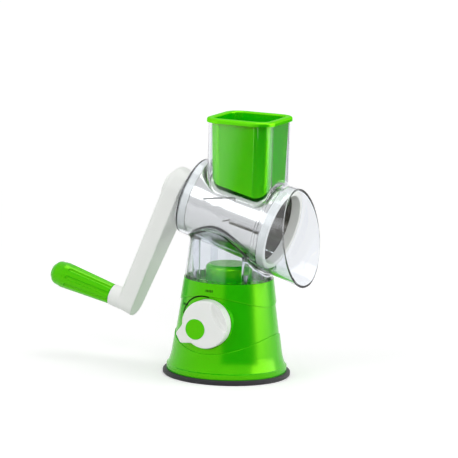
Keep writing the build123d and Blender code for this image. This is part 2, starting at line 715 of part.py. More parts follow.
# Lock knob: a thick disc with a pointer, a finger scoop opposite it and a round inlay
with BuildSketch(KNOB_FACE) as knob_outline:
    with BuildLine():
        Polyline(
            (0, POINTER_ROOT_WIDTH / 2),
            (POINTER_ROOT, POINTER_ROOT_WIDTH / 2),
            (POINTER_REACH, POINTER_TIP_WIDTH / 2),
            (POINTER_REACH, -POINTER_TIP_WIDTH / 2),
            (POINTER_ROOT, -POINTER_ROOT_WIDTH / 2),
            (0, -POINTER_ROOT_WIDTH / 2),
            close=True,
        )
    make_face()
    Circle(KNOB_RADIUS)
    fillet(knob_outline.vertices(), POINTER_BLEND)

with BuildPart() as knob:
    with BuildSketch(KNOB_FACE):
        Circle(KNOB_RADIUS)
    extrude(amount=-KNOB_THICKNESS)
    extrude(knob_outline.sketch, amount=-POINTER_THICKNESS)
    fillet(knob.faces().sort_by(Axis.Y)[0].outer_wire().edges(), KNOB_ROUND)
    with BuildSketch(SCOOP_FLOOR):
        with Locations((-SCOOP_RADIUS, 0)):
            Circle(SCOOP_RADIUS)
    extrude(amount=KNOB_THICKNESS, mode=Mode.SUBTRACT)
    fillet(knob.edges(Select.LAST).filter_by(GeomType.CIRCLE).sort_by(SortBy.RADIUS)[-1], SCOOP_ROUND)
    with BuildSketch(KNOB_FACE):
        with Locations((INLAY_OFFSET, 0)):
            Circle(INLAY_RADIUS + SEAT_FIT)
    extrude(amount=-INLAY_DEPTH, mode=Mode.SUBTRACT)
    with BuildSketch(Plane.XZ.offset(knob_back)):
        with Locations((0, KNOB_HEIGHT)):
            Circle(SHAFT_RADIUS + SEAT_FIT)
        with Locations((0, KNOB_HEIGHT + 2 * SHAFT_RADIUS - SHAFT_FLAT + SEAT_FIT)):
            Rectangle(3 * SHAFT_RADIUS, 2 * SHAFT_RADIUS, mode=Mode.SUBTRACT)
    extrude(amount=SHAFT_SOCKET, mode=Mode.SUBTRACT)
knob.part.label = "knob"
export_step(knob.part, "parts/knob.step")

# Coloured inlay in the knob's face
with BuildPart() as knob_inlay:
    with BuildSketch(KNOB_FACE.offset(-INLAY_DEPTH)):
        with Locations((INLAY_OFFSET, 0)):
            Circle(INLAY_RADIUS)
    extrude(amount=INLAY_DEPTH + INLAY_PROUD)
    fillet(knob_inlay.edges().sort_by(Axis.Y)[0], INLAY_PROUD)
knob_inlay.part.label = "knob_inlay"
export_step(knob_inlay.part, "parts/knob_inlay.step")

# Solids that the clear housing's outer skin is made from, with the barrel's cone running on inside the collar
with BuildPart() as barrel_body:
    revolve(
        section(
            DRUM_SIDE,
            (BARREL_BACK, 0),
            (BARREL_BACK, BARREL_BACK_RADIUS),
            (collar_end, barrel_radius(collar_end)),
            (collar_end, 0),
        ),
        axis=DRUM_AXIS,
    )
    fillet(barrel_body.edges().filter_by(GeomType.CIRCLE).sort_by(DRUM_AXIS)[0], BARREL_ROUND)

with BuildPart() as collar_body:
    revolve(
        section(
            DRUM_SIDE,
            (collar_back, 0),
            (collar_back, outlet_radius(collar_back)),
            (collar_end, outlet_radius(collar_end)),
            (collar_end, 0),
        ),
        axis=DRUM_AXIS,
    )

with BuildPart() as chute_body:
    with BuildSketch(Plane.XY.offset(axis_height)):
        with Locations((CHUTE_X, 0)):
            RectangleRounded(CHUTE_WIDTH, CHUTE_WIDTH, CHUTE_ROUND)
    extrude(amount=chute_top - axis_height)

with BuildPart() as skirt_body:
    revolve(
        section(
            Plane.XZ,
            (0, deck_top),
            (spigot_radius, deck_top),
            (spigot_radius, SHOULDER_HEIGHT),
            (SKIRT_RADIUS, SHOULDER_HEIGHT),
            (skirt_radius(skirt_top), skirt_top),
            (0, skirt_top),
        ),
        axis=Axis.Z,
    )

# Air inside the skirt, up to the barrel's underside
with BuildPart() as skirt_air:
    revolve(
        section(
            Plane.XZ,
            (0, deck_top),
            (spigot_radius - CLEAR_WALL, deck_top),
            (skirt_radius(SHOULDER_HEIGHT + CLEAR_WALL) - CLEAR_WALL, SHOULDER_HEIGHT + CLEAR_WALL),
            (skirt_radius(axis_height) - CLEAR_WALL, axis_height),
            (0, axis_height),
        ),
        axis=Axis.Z,
    )
    add(barrel_body.part, mode=Mode.SUBTRACT)
    add(collar_body.part, mode=Mode.SUBTRACT)
    with BuildSketch(Plane.XY.offset(deck_top)):
        with GridLocations(2 * HOUSING_SCREW_X, 2 * HOUSING_SCREW_Y, 2, 2):
            Circle(HOUSING_BOSS_RADIUS)
    extrude(amount=axis_height - deck_top, mode=Mode.SUBTRACT)
    skirt_air_pieces = skirt_air.solids().sort_by(Axis.Z)

# Clear housing: skirt, barrel, chute and outlet collar in one moulding
with BuildPart() as housing:
    add(barrel_body.part)
    add(chute_body.part)
    fillet(new_edges(barrel_body.part, chute_body.part, combined=housing.part), CHUTE_BLEND)
    add(collar_body.part)
    upper_body = housing.part
    add(skirt_body.part)
    fillet(new_edges(upper_body, skirt_body.part, combined=housing.part), SKIRT_BLEND)
    split(bisect_by=MOUTH, keep=Keep.BOTTOM)
    add(skirt_air_pieces[0], mode=Mode.SUBTRACT)
    revolve(
        section(
            DRUM_SIDE,
            (back_wall_inner, 0),
            (back_wall_inner, bore_radius(back_wall_inner)),
            (ring_seat, bore_radius(ring_seat)),
            (ring_seat, outlet_radius(ring_seat) - CLEAR_WALL),
            (collar_end, outlet_radius(collar_end) - CLEAR_WALL),
            (collar_end, 0),
        ),
        axis=DRUM_AXIS,
        mode=Mode.SUBTRACT,
    )
    with BuildSketch(Plane.XY.offset(axis_height)):
        with Locations((CHUTE_X, 0)):
            RectangleRounded(chute_bore, chute_bore, CHUTE_ROUND - CLEAR_WALL)
    extrude(amount=chute_top - axis_height, mode=Mode.SUBTRACT)
    lip_face = housing.faces().sort_by(Axis(MOUTH.origin, MOUTH.z_dir))[-1]
    fillet(lip_face.edges(), OUTLET_LIP_ROUND)
    with BuildSketch(drum_plane(BARREL_BACK)):
        Circle(JOURNAL_RADIUS + RUN_FIT + BUSH_WALL + SEAT_FIT)
    extrude(amount=CLEAR_WALL, mode=Mode.SUBTRACT)
    with BuildSketch(Plane.XY.offset(deck_top)):
        with GridLocations(2 * HOUSING_SCREW_X, 2 * HOUSING_SCREW_Y, 2, 2):
            Circle(SCREW_RADIUS + SEAT_FIT)
    extrude(amount=SCREW_GRIP + SCREW_HOLE_SPARE, mode=Mode.SUBTRACT)
housing.part.label = "housing"
export_step(housing.part, "parts/housing.step")

# Four screws up through the deck into the housing's bosses
with BuildPart() as housing_screws:
    with GridLocations(2 * HOUSING_SCREW_X, 2 * HOUSING_SCREW_Y, 2, 2):
        add(panhead(Plane.XY, deck_under, DECK_WALL + SCREW_GRIP))
housing_screws.part.label = "housing_screws"
export_step(housing_screws.part, "parts/housing_screws.step")

# Flanged bush in the barrel's back wall
with BuildPart() as drive_bush:
    revolve(
        section(
            DRUM_SIDE,
            (bush_outer, JOURNAL_RADIUS + RUN_FIT),
            (bush_outer, JOURNAL_RADIUS + RUN_FIT + BUSH_FLANGE_WIDTH),
            (BARREL_BACK, JOURNAL_RADIUS + RUN_FIT + BUSH_FLANGE_WIDTH),
            (BARREL_BACK, JOURNAL_RADIUS + RUN_FIT + BUSH_WALL),
            (bush_inner, JOURNAL_RADIUS + RUN_FIT + BUSH_WALL),
            (bush_inner, JOURNAL_RADIUS + RUN_FIT),
        ),
        axis=DRUM_AXIS,
    )
drive_bush.part.label = "drive_bush"
export_step(drive_bush.part, "parts/drive_bush.step")

# Pusher: a hollow plug with a rim that stops on the chute and an underside hollowed to clear the drum
with BuildPart() as pusher_hollow:
    for height in (axis_height, pusher_top):
        with BuildSketch(Plane.XY.offset(height)):
            with Locations((CHUTE_X, 0)):
                RectangleRounded(
                    pusher_width(height) - 2 * PUSHER_WALL,
                    pusher_width(height) - 2 * PUSHER_WALL,
                    pusher_round - PUSHER_WALL,
                )
    loft()
    with BuildSketch(drum_plane(BARREL_BACK)):
        Circle(pusher_arch + PUSHER_FLOOR)
    extrude(amount=collar_end - BARREL_BACK, mode=Mode.SUBTRACT)

with BuildPart() as pusher:
    for height in (axis_height, chute_top):
        with BuildSketch(Plane.XY.offset(height)):
            with Locations((CHUTE_X, 0)):
                RectangleRounded(pusher_width(height), pusher_width(height), pusher_round)
    loft()
    with BuildSketch(drum_plane(BARREL_BACK)):
        Circle(pusher_arch)
    extrude(amount=collar_end - BARREL_BACK, mode=Mode.SUBTRACT)
    with BuildSketch(Plane.XY.offset(chute_top)):
        with Locations((CHUTE_X, 0)):
            RectangleRounded(rim_width, rim_width, CHUTE_ROUND + PUSHER_RIM_OVERHANG)
    extrude(amount=PUSHER_RIM_HEIGHT)
    fillet(pusher.faces().sort_by(Axis.Z)[-1].edges(), PUSHER_RIM_ROUND)
    add(pusher_hollow.part, mode=Mode.SUBTRACT)
    fillet(pusher.faces().sort_by(Axis.Z)[-1].inner_wires()[0].edges(), PUSHER_LIP_ROUND)
pusher.part.label = "pusher"
export_step(pusher.part, "parts/pusher.step")

# Blades of the drum: raised lips that follow the sheet, cut from a band round it
blade_rows = (
    (BACK_ROW_STATION, BACK_ROW_TURN, BACK_ROW_SLANT),
    (FRONT_ROW_STATION, FRONT_ROW_TURN, FRONT_ROW_SLANT),
)
blade_planes = [
    (blade_plane(station, start + number * 360 / BLADES_PER_ROW), slant)
    for station, start, slant in blade_rows
    for number in range(BLADES_PER_ROW)
]
with BuildPart() as blade_band:
    revolve(
        section(
            DRUM_SIDE,
            (SHEET_BACK, sheet_radius(SHEET_BACK) + BLADE_RISE),
            (sheet_front, sheet_radius(sheet_front) + BLADE_RISE),
            (sheet_front, sheet_radius(sheet_front) - SHEET_THICKNESS / 2),
            (SHEET_BACK, sheet_radius(SHEET_BACK) - SHEET_THICKNESS / 2),
        ),
        axis=DRUM_AXIS,
    )

with BuildPart() as blade_lips:
    for lip, slant in blade_planes:
        with BuildSketch(lip.offset(-BLADE_WIDTH)):
            with Locations(Location((0, BLADE_WIDTH / 2 - BLADE_WINDOW / 2, 0), (0, 0, slant))):
                Rectangle(BLADE_LENGTH, BLADE_WIDTH)
        extrude(amount=2 * BLADE_WIDTH)
    add(blade_band.part, mode=Mode.INTERSECT)

# Drum sheet: a steel cone with short slits and, beside each blade, the window that it overhangs
with BuildPart() as drum_sheet:
    revolve(
        section(
            DRUM_SIDE,
            (SHEET_BACK, sheet_radius(SHEET_BACK)),
            (sheet_front, sheet_radius(sheet_front)),
            (sheet_front, sheet_radius(sheet_front) - SHEET_THICKNESS),
            (SHEET_BACK, sheet_radius(SHEET_BACK) - SHEET_THICKNESS),
        ),
        axis=DRUM_AXIS,
    )
    for lip, slant in blade_planes:
        with BuildSketch(lip.offset(-BLADE_WIDTH)):
            with Locations(Location((0, BLADE_WIDTH - BLADE_WINDOW / 2, 0), (0, 0, slant))):
                Rectangle(BLADE_LENGTH, BLADE_WINDOW)
        extrude(amount=2 * BLADE_WIDTH, mode=Mode.SUBTRACT)
    for number in range(BLADES_PER_ROW):
        slit = blade_plane(SLIT_STATION, SLIT_TURN + number * 360 / BLADES_PER_ROW)
        with BuildSketch(slit.offset(-SLIT_LENGTH / 2)):
            with Locations(Location((0, 0, 0), (0, 0, SLIT_SLANT))):
                SlotOverall(SLIT_LENGTH, SLIT_WIDTH)
        extrude(amount=SLIT_LENGTH, mode=Mode.SUBTRACT)
    add(blade_lips.part)
drum_sheet.part.label = "drum_sheet"
export_step(drum_sheet.part, "parts/drum_sheet.step")

# Room for the sheet's ends in the drum's rings
with BuildPart() as sheet_room:
    revolve(
        section(
            DRUM_SIDE,
            (SHEET_BACK - SEAT_FIT, sheet_radius(SHEET_BACK) + SEAT_FIT),
            (sheet_front + SEAT_FIT, sheet_radius(sheet_front) + SEAT_FIT),
            (sheet_front + SEAT_FIT, sheet_radius(sheet_front) - SHEET_THICKNESS - SEAT_FIT),
            (SHEET_BACK - SEAT_FIT, sheet_radius(SHEET_BACK) - SHEET_THICKNESS - SEAT_FIT),
        ),
        axis=DRUM_AXIS,
    )

# Front ring: a flange that stops on the seat in the collar, with a sleeve inside the sheet
with BuildPart() as drum_front_ring:
    revolve(
        section(
            DRUM_SIDE,
            (ring_back, ring_radius - FRONT_RING_WIDTH),
            (ring_back - FRONT_SLEEVE, ring_radius - FRONT_RING_WIDTH),
            (ring_back - FRONT_SLEEVE, sheet_radius(ring_back - FRONT_SLEEVE) - SHEET_THICKNESS - SEAT_FIT),
            (ring_back, sheet_radius(ring_back) - SHEET_THICKNESS - SEAT_FIT),
            (ring_back, ring_radius),
            (ring_front, ring_radius),
            (ring_front, ring_radius - FRONT_RING_WIDTH),
        ),
        axis=DRUM_AXIS,
    )
    fillet(drum_front_ring.faces().sort_by(DRUM_AXIS)[-1].edges(), FRONT_RING_ROUND)
    add(sheet_room.part, mode=Mode.SUBTRACT)
drum_front_ring.part.label = "drum_front_ring"
export_step(drum_front_ring.part, "parts/drum_front_ring.step")

# Back ring: a ring with spokes to a hub that the drive shaft turns
with BuildPart() as drum_back_ring:
    with BuildSketch(drum_plane(back_ring_start)):
        Circle(back_ring_radius)
        Circle(back_ring_radius - BACK_RING_WIDTH, mode=Mode.SUBTRACT)
        for number in range(SPOKES):
            with Locations(Location((0, 0, 0), (0, 0, number * 360 / SPOKES))):
                with Locations((spoke_middle, 0)):
                    Rectangle(spoke_length, SPOKE_WIDTH)
    extrude(amount=BACK_RING_LENGTH)
    with BuildSketch(drum_plane(back_ring_start)):
        Circle(DRUM_HUB_RADIUS)
    extrude(amount=DRUM_HUB_LENGTH)
    add(sheet_room.part, mode=Mode.SUBTRACT)
    with BuildSketch(drum_plane(back_ring_start)):
        RegularPolygon(DRUM_HEX / 2 + SLIDE_FIT, 6, major_radius=False)
    extrude(amount=DRUM_SHAFT_LENGTH + SEAT_FIT, mode=Mode.SUBTRACT)
    with BuildSketch(drum_plane(hex_end)):
        Circle(PILOT_RADIUS + SLIDE_FIT)
    extrude(amount=PILOT_LENGTH + FREE_GAP, mode=Mode.SUBTRACT)
drum_back_ring.part.label = "drum_back_ring"
export_step(drum_back_ring.part, "parts/drum_back_ring.step")

# Drive shaft: hexagons in the crank and in the drum with a round journal between them
with BuildPart() as drive_shaft:
    with BuildSketch(drum_plane(recess_floor + FREE_GAP)):
        RegularPolygon(CRANK_HEX / 2, 6, major_radius=False)
    extrude(amount=neck_front - recess_floor - FREE_GAP)
    with BuildSketch(drum_plane(neck_front)):
        Circle(JOURNAL_RADIUS)
    extrude(amount=bush_inner - neck_front)
    with BuildSketch(drum_plane(bush_inner)):
        RegularPolygon(DRUM_HEX / 2, 6, major_radius=False)
    extrude(amount=hex_end - bush_inner)
    with BuildSketch(drum_plane(hex_end)):
        Circle(PILOT_RADIUS)
    extrude(amount=PILOT_LENGTH)
    with BuildSketch(drum_plane(snug_ring_start - SEAT_FIT)):
        Circle(PILOT_RADIUS)
        Circle(PILOT_RADIUS - SNUG_RING_DEPTH, mode=Mode.SUBTRACT)
    extrude(amount=SNUG_RING_WIDTH + 2 * SEAT_FIT, mode=Mode.SUBTRACT)
    with BuildSketch(drum_plane(recess_floor)):
        Circle(SCREW_RADIUS + SEAT_FIT)
    extrude(amount=SCREW_GRIP + SCREW_HOLE_SPARE, mode=Mode.SUBTRACT)
drive_shaft.part.label = "drive_shaft"
export_step(drive_shaft.part, "parts/drive_shaft.step")

# Rubber ring near the shaft's tip that holds the drum on by friction
with BuildPart() as snug_ring:
    with BuildSketch(drum_plane(snug_ring_start)):
        Circle(PILOT_RADIUS)
        Circle(PILOT_RADIUS - SNUG_RING_DEPTH + SEAT_FIT, mode=Mode.SUBTRACT)
    extrude(amount=SNUG_RING_WIDTH)
snug_ring.part.label = "snug_ring"
export_step(snug_ring.part, "parts/snug_ring.step")

# Crank arm: a leaning arm with a neck and a boss at its hub and a boss for the grip at its tip
with BuildPart() as crank_arm:
    with BuildSketch(ARM_FACE) as arm_outline:
        Circle(ARM_HUB_RADIUS)
        with Locations((ARM_REACH / cos(lean), 0)):
            Circle(ARM_TIP_RADIUS)
        make_hull()
    extrude(amount=ARM_THICKNESS)
    arm_faces = crank_arm.faces().sort_by(Axis(ARM_FACE.origin, ARM_FACE.z_dir))
    fillet(arm_faces[-1].edges(), ARM_OUTER_ROUND)
    arm_faces = crank_arm.faces().sort_by(Axis(ARM_FACE.origin, ARM_FACE.z_dir))
    fillet(arm_faces[0].edges(), ARM_INNER_ROUND)
    with BuildSketch(drum_plane(neck_front)):
        Circle(NECK_RADIUS)
    extrude(amount=-NECK_LENGTH - ARM_THICKNESS / 2)
    with BuildSketch(drum_plane(hub_outer)):
        Circle(HUB_BOSS_RADIUS)
    extrude(amount=ARM_THICKNESS / 2)
    revolve(
        section(
            GRIP_SIDE,
            (boss_end, 0),
            (boss_end, BOSS_TIP_RADIUS),
            (tip_outer + ARM_THICKNESS / 2, ARM_TIP_RADIUS - ARM_INNER_ROUND),
            (tip_outer + ARM_THICKNESS / 2, 0),
        ),
        axis=GRIP_AXIS,
    )
    with BuildSketch(drum_plane(hub_outer)):
        Circle(HUB_RECESS_RADIUS)
    extrude(amount=HUB_RECESS_DEPTH, mode=Mode.SUBTRACT)
    with BuildSketch(drum_plane(recess_floor)):
        RegularPolygon(CRANK_HEX / 2 + SEAT_FIT, 6, major_radius=False)
    extrude(amount=neck_front - recess_floor, mode=Mode.SUBTRACT)
    with BuildSketch(grip_plane(boss_end)):
        Circle(PIN_RADIUS + SEAT_FIT)
    extrude(amount=PIN_ROOT + SEAT_FIT, mode=Mode.SUBTRACT)
crank_arm.part.label = "crank_arm"
export_step(crank_arm.part, "parts/crank_arm.step")

# Washer, screw and cap that hold the crank on its shaft
with BuildPart() as crank_washer:
    with BuildSketch(drum_plane(recess_floor)):
        Circle(HUB_RECESS_RADIUS - FREE_GAP)
        Circle(SCREW_RADIUS + SEAT_FIT, mode=Mode.SUBTRACT)
    extrude(amount=-WASHER_THICKNESS)
crank_washer.part.label = "crank_washer"
export_step(crank_washer.part, "parts/crank_washer.step")

with BuildPart() as crank_screw:
    add(panhead(drum_plane(recess_floor), -WASHER_THICKNESS, WASHER_THICKNESS + SCREW_GRIP))
crank_screw.part.label = "crank_screw"
export_step(crank_screw.part, "parts/crank_screw.step")

with BuildPart() as hub_cap:
    with BuildSketch(drum_plane(hub_outer - CAP_DOME)):
        Circle(HUB_RECESS_RADIUS - SEAT_FIT)
    extrude(amount=CAP_DOME + cap_depth)
    fillet(hub_cap.edges().filter_by(GeomType.CIRCLE).sort_by(DRUM_AXIS)[0], CAP_DOME)
hub_cap.part.label = "hub_cap"
export_step(hub_cap.part, "parts/hub_cap.step")

# Pin, washer and screw that the grip turns on
with BuildPart() as grip_pin:
    with BuildSketch(grip_plane(pin_end)):
        Circle(PIN_RADIUS)
    extrude(amount=boss_end - pin_end + PIN_ROOT)
    with BuildSketch(grip_plane(pin_end)):
        Circle(SCREW_RADIUS + SEAT_FIT)
    extrude(amount=SCREW_GRIP + SCREW_HOLE_SPARE, mode=Mode.SUBTRACT)
grip_pin.part.label = "grip_pin"
export_step(grip_pin.part, "parts/grip_pin.step")

with BuildPart() as grip_washer:
    with BuildSketch(grip_plane(pin_end)):
        Circle(GRIP_POCKET_RADIUS - 2 * FREE_GAP)
        Circle(SCREW_RADIUS + SEAT_FIT, mode=Mode.SUBTRACT)
    extrude(amount=-WASHER_THICKNESS)
grip_washer.part.label = "grip_washer"
export_step(grip_washer.part, "parts/grip_washer.step")

with BuildPart() as grip_screw:
    add(panhead(grip_plane(pin_end), -WASHER_THICKNESS, WASHER_THICKNESS + SCREW_GRIP))
grip_screw.part.label = "grip_screw"
export_step(grip_screw.part, "parts/grip_screw.step")

# Grip: a tapered handle with flutes, a bore for the pin and a capped pocket at its end
with BuildSketch(GRIP_SIDE) as grip_section:
    with BuildLine():
        swell = Line(
            (grip_start - GRIP_ROOT_ROUND, GRIP_ROOT_RADIUS),
            (grip_start - GRIP_BELLY, GRIP_BELLY_RADIUS),
        )
        waist = Line(swell @ 1, (grip_end + GRIP_END_ROUND, GRIP_END_RADIUS))
        nose = TangentArc(waist @ 1, (grip_end, GRIP_POCKET_RADIUS), tangent=waist % 1)
        Polyline(
            nose @ 1,
            (pocket_floor, GRIP_POCKET_RADIUS),
            (pocket_floor, PIN_RADIUS + RUN_FIT),
            (grip_start, PIN_RADIUS + RUN_FIT),
            (grip_start, GRIP_ROOT_RADIUS - GRIP_ROOT_ROUND),
            swell @ 0,
        )
    make_face()

with BuildPart() as flute:
    with BuildSketch(FLUTE_START):
        Circle(FLUTE_RADIUS)
    extrude(amount=FLUTE_LENGTH)
    fillet(flute.edges().sort_by(GRIP_AXIS)[0], FLUTE_RADIUS * 0.9)

with BuildPart() as grip:
    revolve(grip_section.sketch, axis=GRIP_AXIS)
    for number in range(FLUTES):
        add(flute.part.rotate(GRIP_AXIS, number * 360 / FLUTES), mode=Mode.SUBTRACT)
grip.part.label = "grip"
export_step(grip.part, "parts/grip.step")

with BuildPart() as grip_cap:
    with BuildSketch(grip_plane(grip_end - CAP_DOME)):
        Circle(GRIP_POCKET_RADIUS - SEAT_FIT)
    extrude(amount=CAP_DOME + CAP_LENGTH)
    fillet(grip_cap.edges().filter_by(GeomType.CIRCLE).sort_by(GRIP_AXIS)[0], CAP_DOME)
grip_cap.part.label = "grip_cap"
export_step(grip_cap.part, "parts/grip_cap.step")
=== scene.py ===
"""Looks of a rotary drum grater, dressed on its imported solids.

The solids keep their shapes and places. This script gives each one its finish, adds the thin
trim that the solids leave out, and sets a plain pale studio round the part.
"""

import logging
import math
from dataclasses import dataclass, replace
from enum import Enum
from typing import Sequence

import bmesh
import bpy
from mathutils import Matrix, Vector


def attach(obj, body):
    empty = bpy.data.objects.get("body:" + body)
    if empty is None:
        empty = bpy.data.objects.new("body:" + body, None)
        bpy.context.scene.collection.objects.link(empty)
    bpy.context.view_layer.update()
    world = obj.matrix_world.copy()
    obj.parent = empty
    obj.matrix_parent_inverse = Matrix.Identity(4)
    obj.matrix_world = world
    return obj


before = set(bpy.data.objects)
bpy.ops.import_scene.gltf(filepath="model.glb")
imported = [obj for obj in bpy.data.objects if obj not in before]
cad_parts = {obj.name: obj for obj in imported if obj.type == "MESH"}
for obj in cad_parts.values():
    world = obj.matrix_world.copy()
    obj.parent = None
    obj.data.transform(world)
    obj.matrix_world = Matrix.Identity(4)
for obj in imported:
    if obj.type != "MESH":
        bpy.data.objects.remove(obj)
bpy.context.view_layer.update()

LOG = logging.getLogger("grater")
MM = 0.001

Colour = tuple[float, float, float]
Point = tuple[float, float, float]
Feed = bpy.types.NodeSocket | float

PLAIN_WHITE: Colour = (1.0, 1.0, 1.0)
QUARTER_TURN = 90.0

# Constants of the curve from display colours to linear ones
DISPLAY_FULL = 255
CURVE_FOOT = 0.04045
CURVE_FOOT_SLOPE = 12.92
CURVE_SHIFT = 0.055
CURVE_POWER = 2.4

# Ray depths are whole numbers, so this tells 0 from 1 and more
DEPTH_SPLIT = 0.5


class Slot(Enum):
    """Material slots of the record that the finishes stand for."""

    GREEN = "green"
    WHITE = "white"
    CLEAR = "clear"
    STEEL = "steel"
    RUBBER = "rubber"
    INNER = "inner_plastic"
    ZINC = "zinc"


class Body(Enum):
    """Bodies of the record that carry a new piece."""

    BASE = "base"


def linear(red: int, green: int, blue: int) -> Colour:
    """Scene-linear colour of an 8-bit display colour.

    Args:
        red: Display red, 0 to 255.
        green: Display green, 0 to 255.
        blue: Display blue, 0 to 255.

    Returns:
        The three linear channels.
    """
    channels = []
    for share in (red / DISPLAY_FULL, green / DISPLAY_FULL, blue / DISPLAY_FULL):
        if share <= CURVE_FOOT:
            channels.append(share / CURVE_FOOT_SLOPE)
        else:
            channels.append(((share + CURVE_SHIFT) / (1.0 + CURVE_SHIFT)) ** CURVE_POWER)
    return tuple(channels)


def opaque(colour: Colour) -> tuple[float, float, float, float]:
    """The colour with full alpha, as node sockets take it."""
    return (*colour, 1.0)


def put(name: str, data: bpy.types.ID) -> bpy.types.Object:
    """Makes an object and links it to the scene.

    Args:
        name: Name of the object.
        data: Its mesh, lamp or camera.

    Returns:
        The linked object.
    """
    thing = bpy.data.objects.new(name, data)
    bpy.context.scene.collection.objects.link(thing)
    return thing


class NodeSheet:
    """Small helper that places and links nodes in one tree."""

    def __init__(self, tree: bpy.types.NodeTree) -> None:
        """Keeps the tree to work on."""
        self.tree = tree

    def add(self, kind: str, **settings: object) -> bpy.types.Node:
        """Adds a node and sets its properties.

        Args:
            kind: Blender's type name of the node.
            settings: Properties of the node by name.

        Returns:
            The new node.
        """
        node = self.tree.nodes.new(kind)
        for name, value in settings.items():
            setattr(node, name, value)
        return node

    def link(self, source: bpy.types.NodeSocket, target: bpy.types.NodeSocket) -> None:
        """Links an output to an input."""
        self.tree.links.new(source, target)

    def feed(self, target: bpy.types.NodeSocket, value: Feed) -> None:
        """Links a socket to an input, or sets the input to a number.

        Args:
            target: The input.
            value: The socket or the number.
        """
        if isinstance(value, bpy.types.NodeSocket):
            self.link(value, target)
        else:
            target.default_value = value

    def math(self, operation: str, first: Feed, second: Feed = 0.0) -> bpy.types.NodeSocket:
        """Adds one arithmetic step.

        Args:
            operation: Blender's name of the operation.
            first: First operand, a socket or a number.
            second: Second operand, a socket or a number.

        Returns:
            The socket that holds the result.
        """
        node = self.add("ShaderNodeMath", operation=operation)
        self.feed(node.inputs[0], first)
        self.feed(node.inputs[1], second)
        return node.outputs[0]

    def noise(self, place: bpy.types.NodeSocket, scale: Feed, detail: float) -> bpy.types.NodeSocket:
        """Adds a noise pattern.

        Args:
            place: Socket with the place on the surface.
            scale: Scale of the pattern, a socket or a number.
            detail: How many finer layers it has.

        Returns:
            The socket that holds the pattern, from 0 to 1.
        """
        node = self.add("ShaderNodeTexNoise")
        self.link(place, node.inputs["Vector"])
        self.feed(node.inputs["Scale"], scale)
        self.feed(node.inputs["Detail"], detail)
        return node.outputs["Fac"]

    def fade(
        self,
        value: bpy.types.NodeSocket,
        span: tuple[float, float],
        levels: tuple[float, float],
    ) -> bpy.types.NodeSocket:
        """Adds a smooth step between two levels.

        Args:
            value: Socket that runs through the step.
            span: Values at which the step starts and ends.
            levels: Levels before the step and after it.

        Returns:
            The socket that holds the level.
        """
        node = self.add("ShaderNodeMapRange", interpolation_type="SMOOTHSTEP")
        self.link(value, node.inputs["Value"])
        for label, number in zip(("From Min", "From Max", "To Min", "To Max"), (*span, *levels)):
            node.inputs[label].default_value = number
        return node.outputs["Result"]


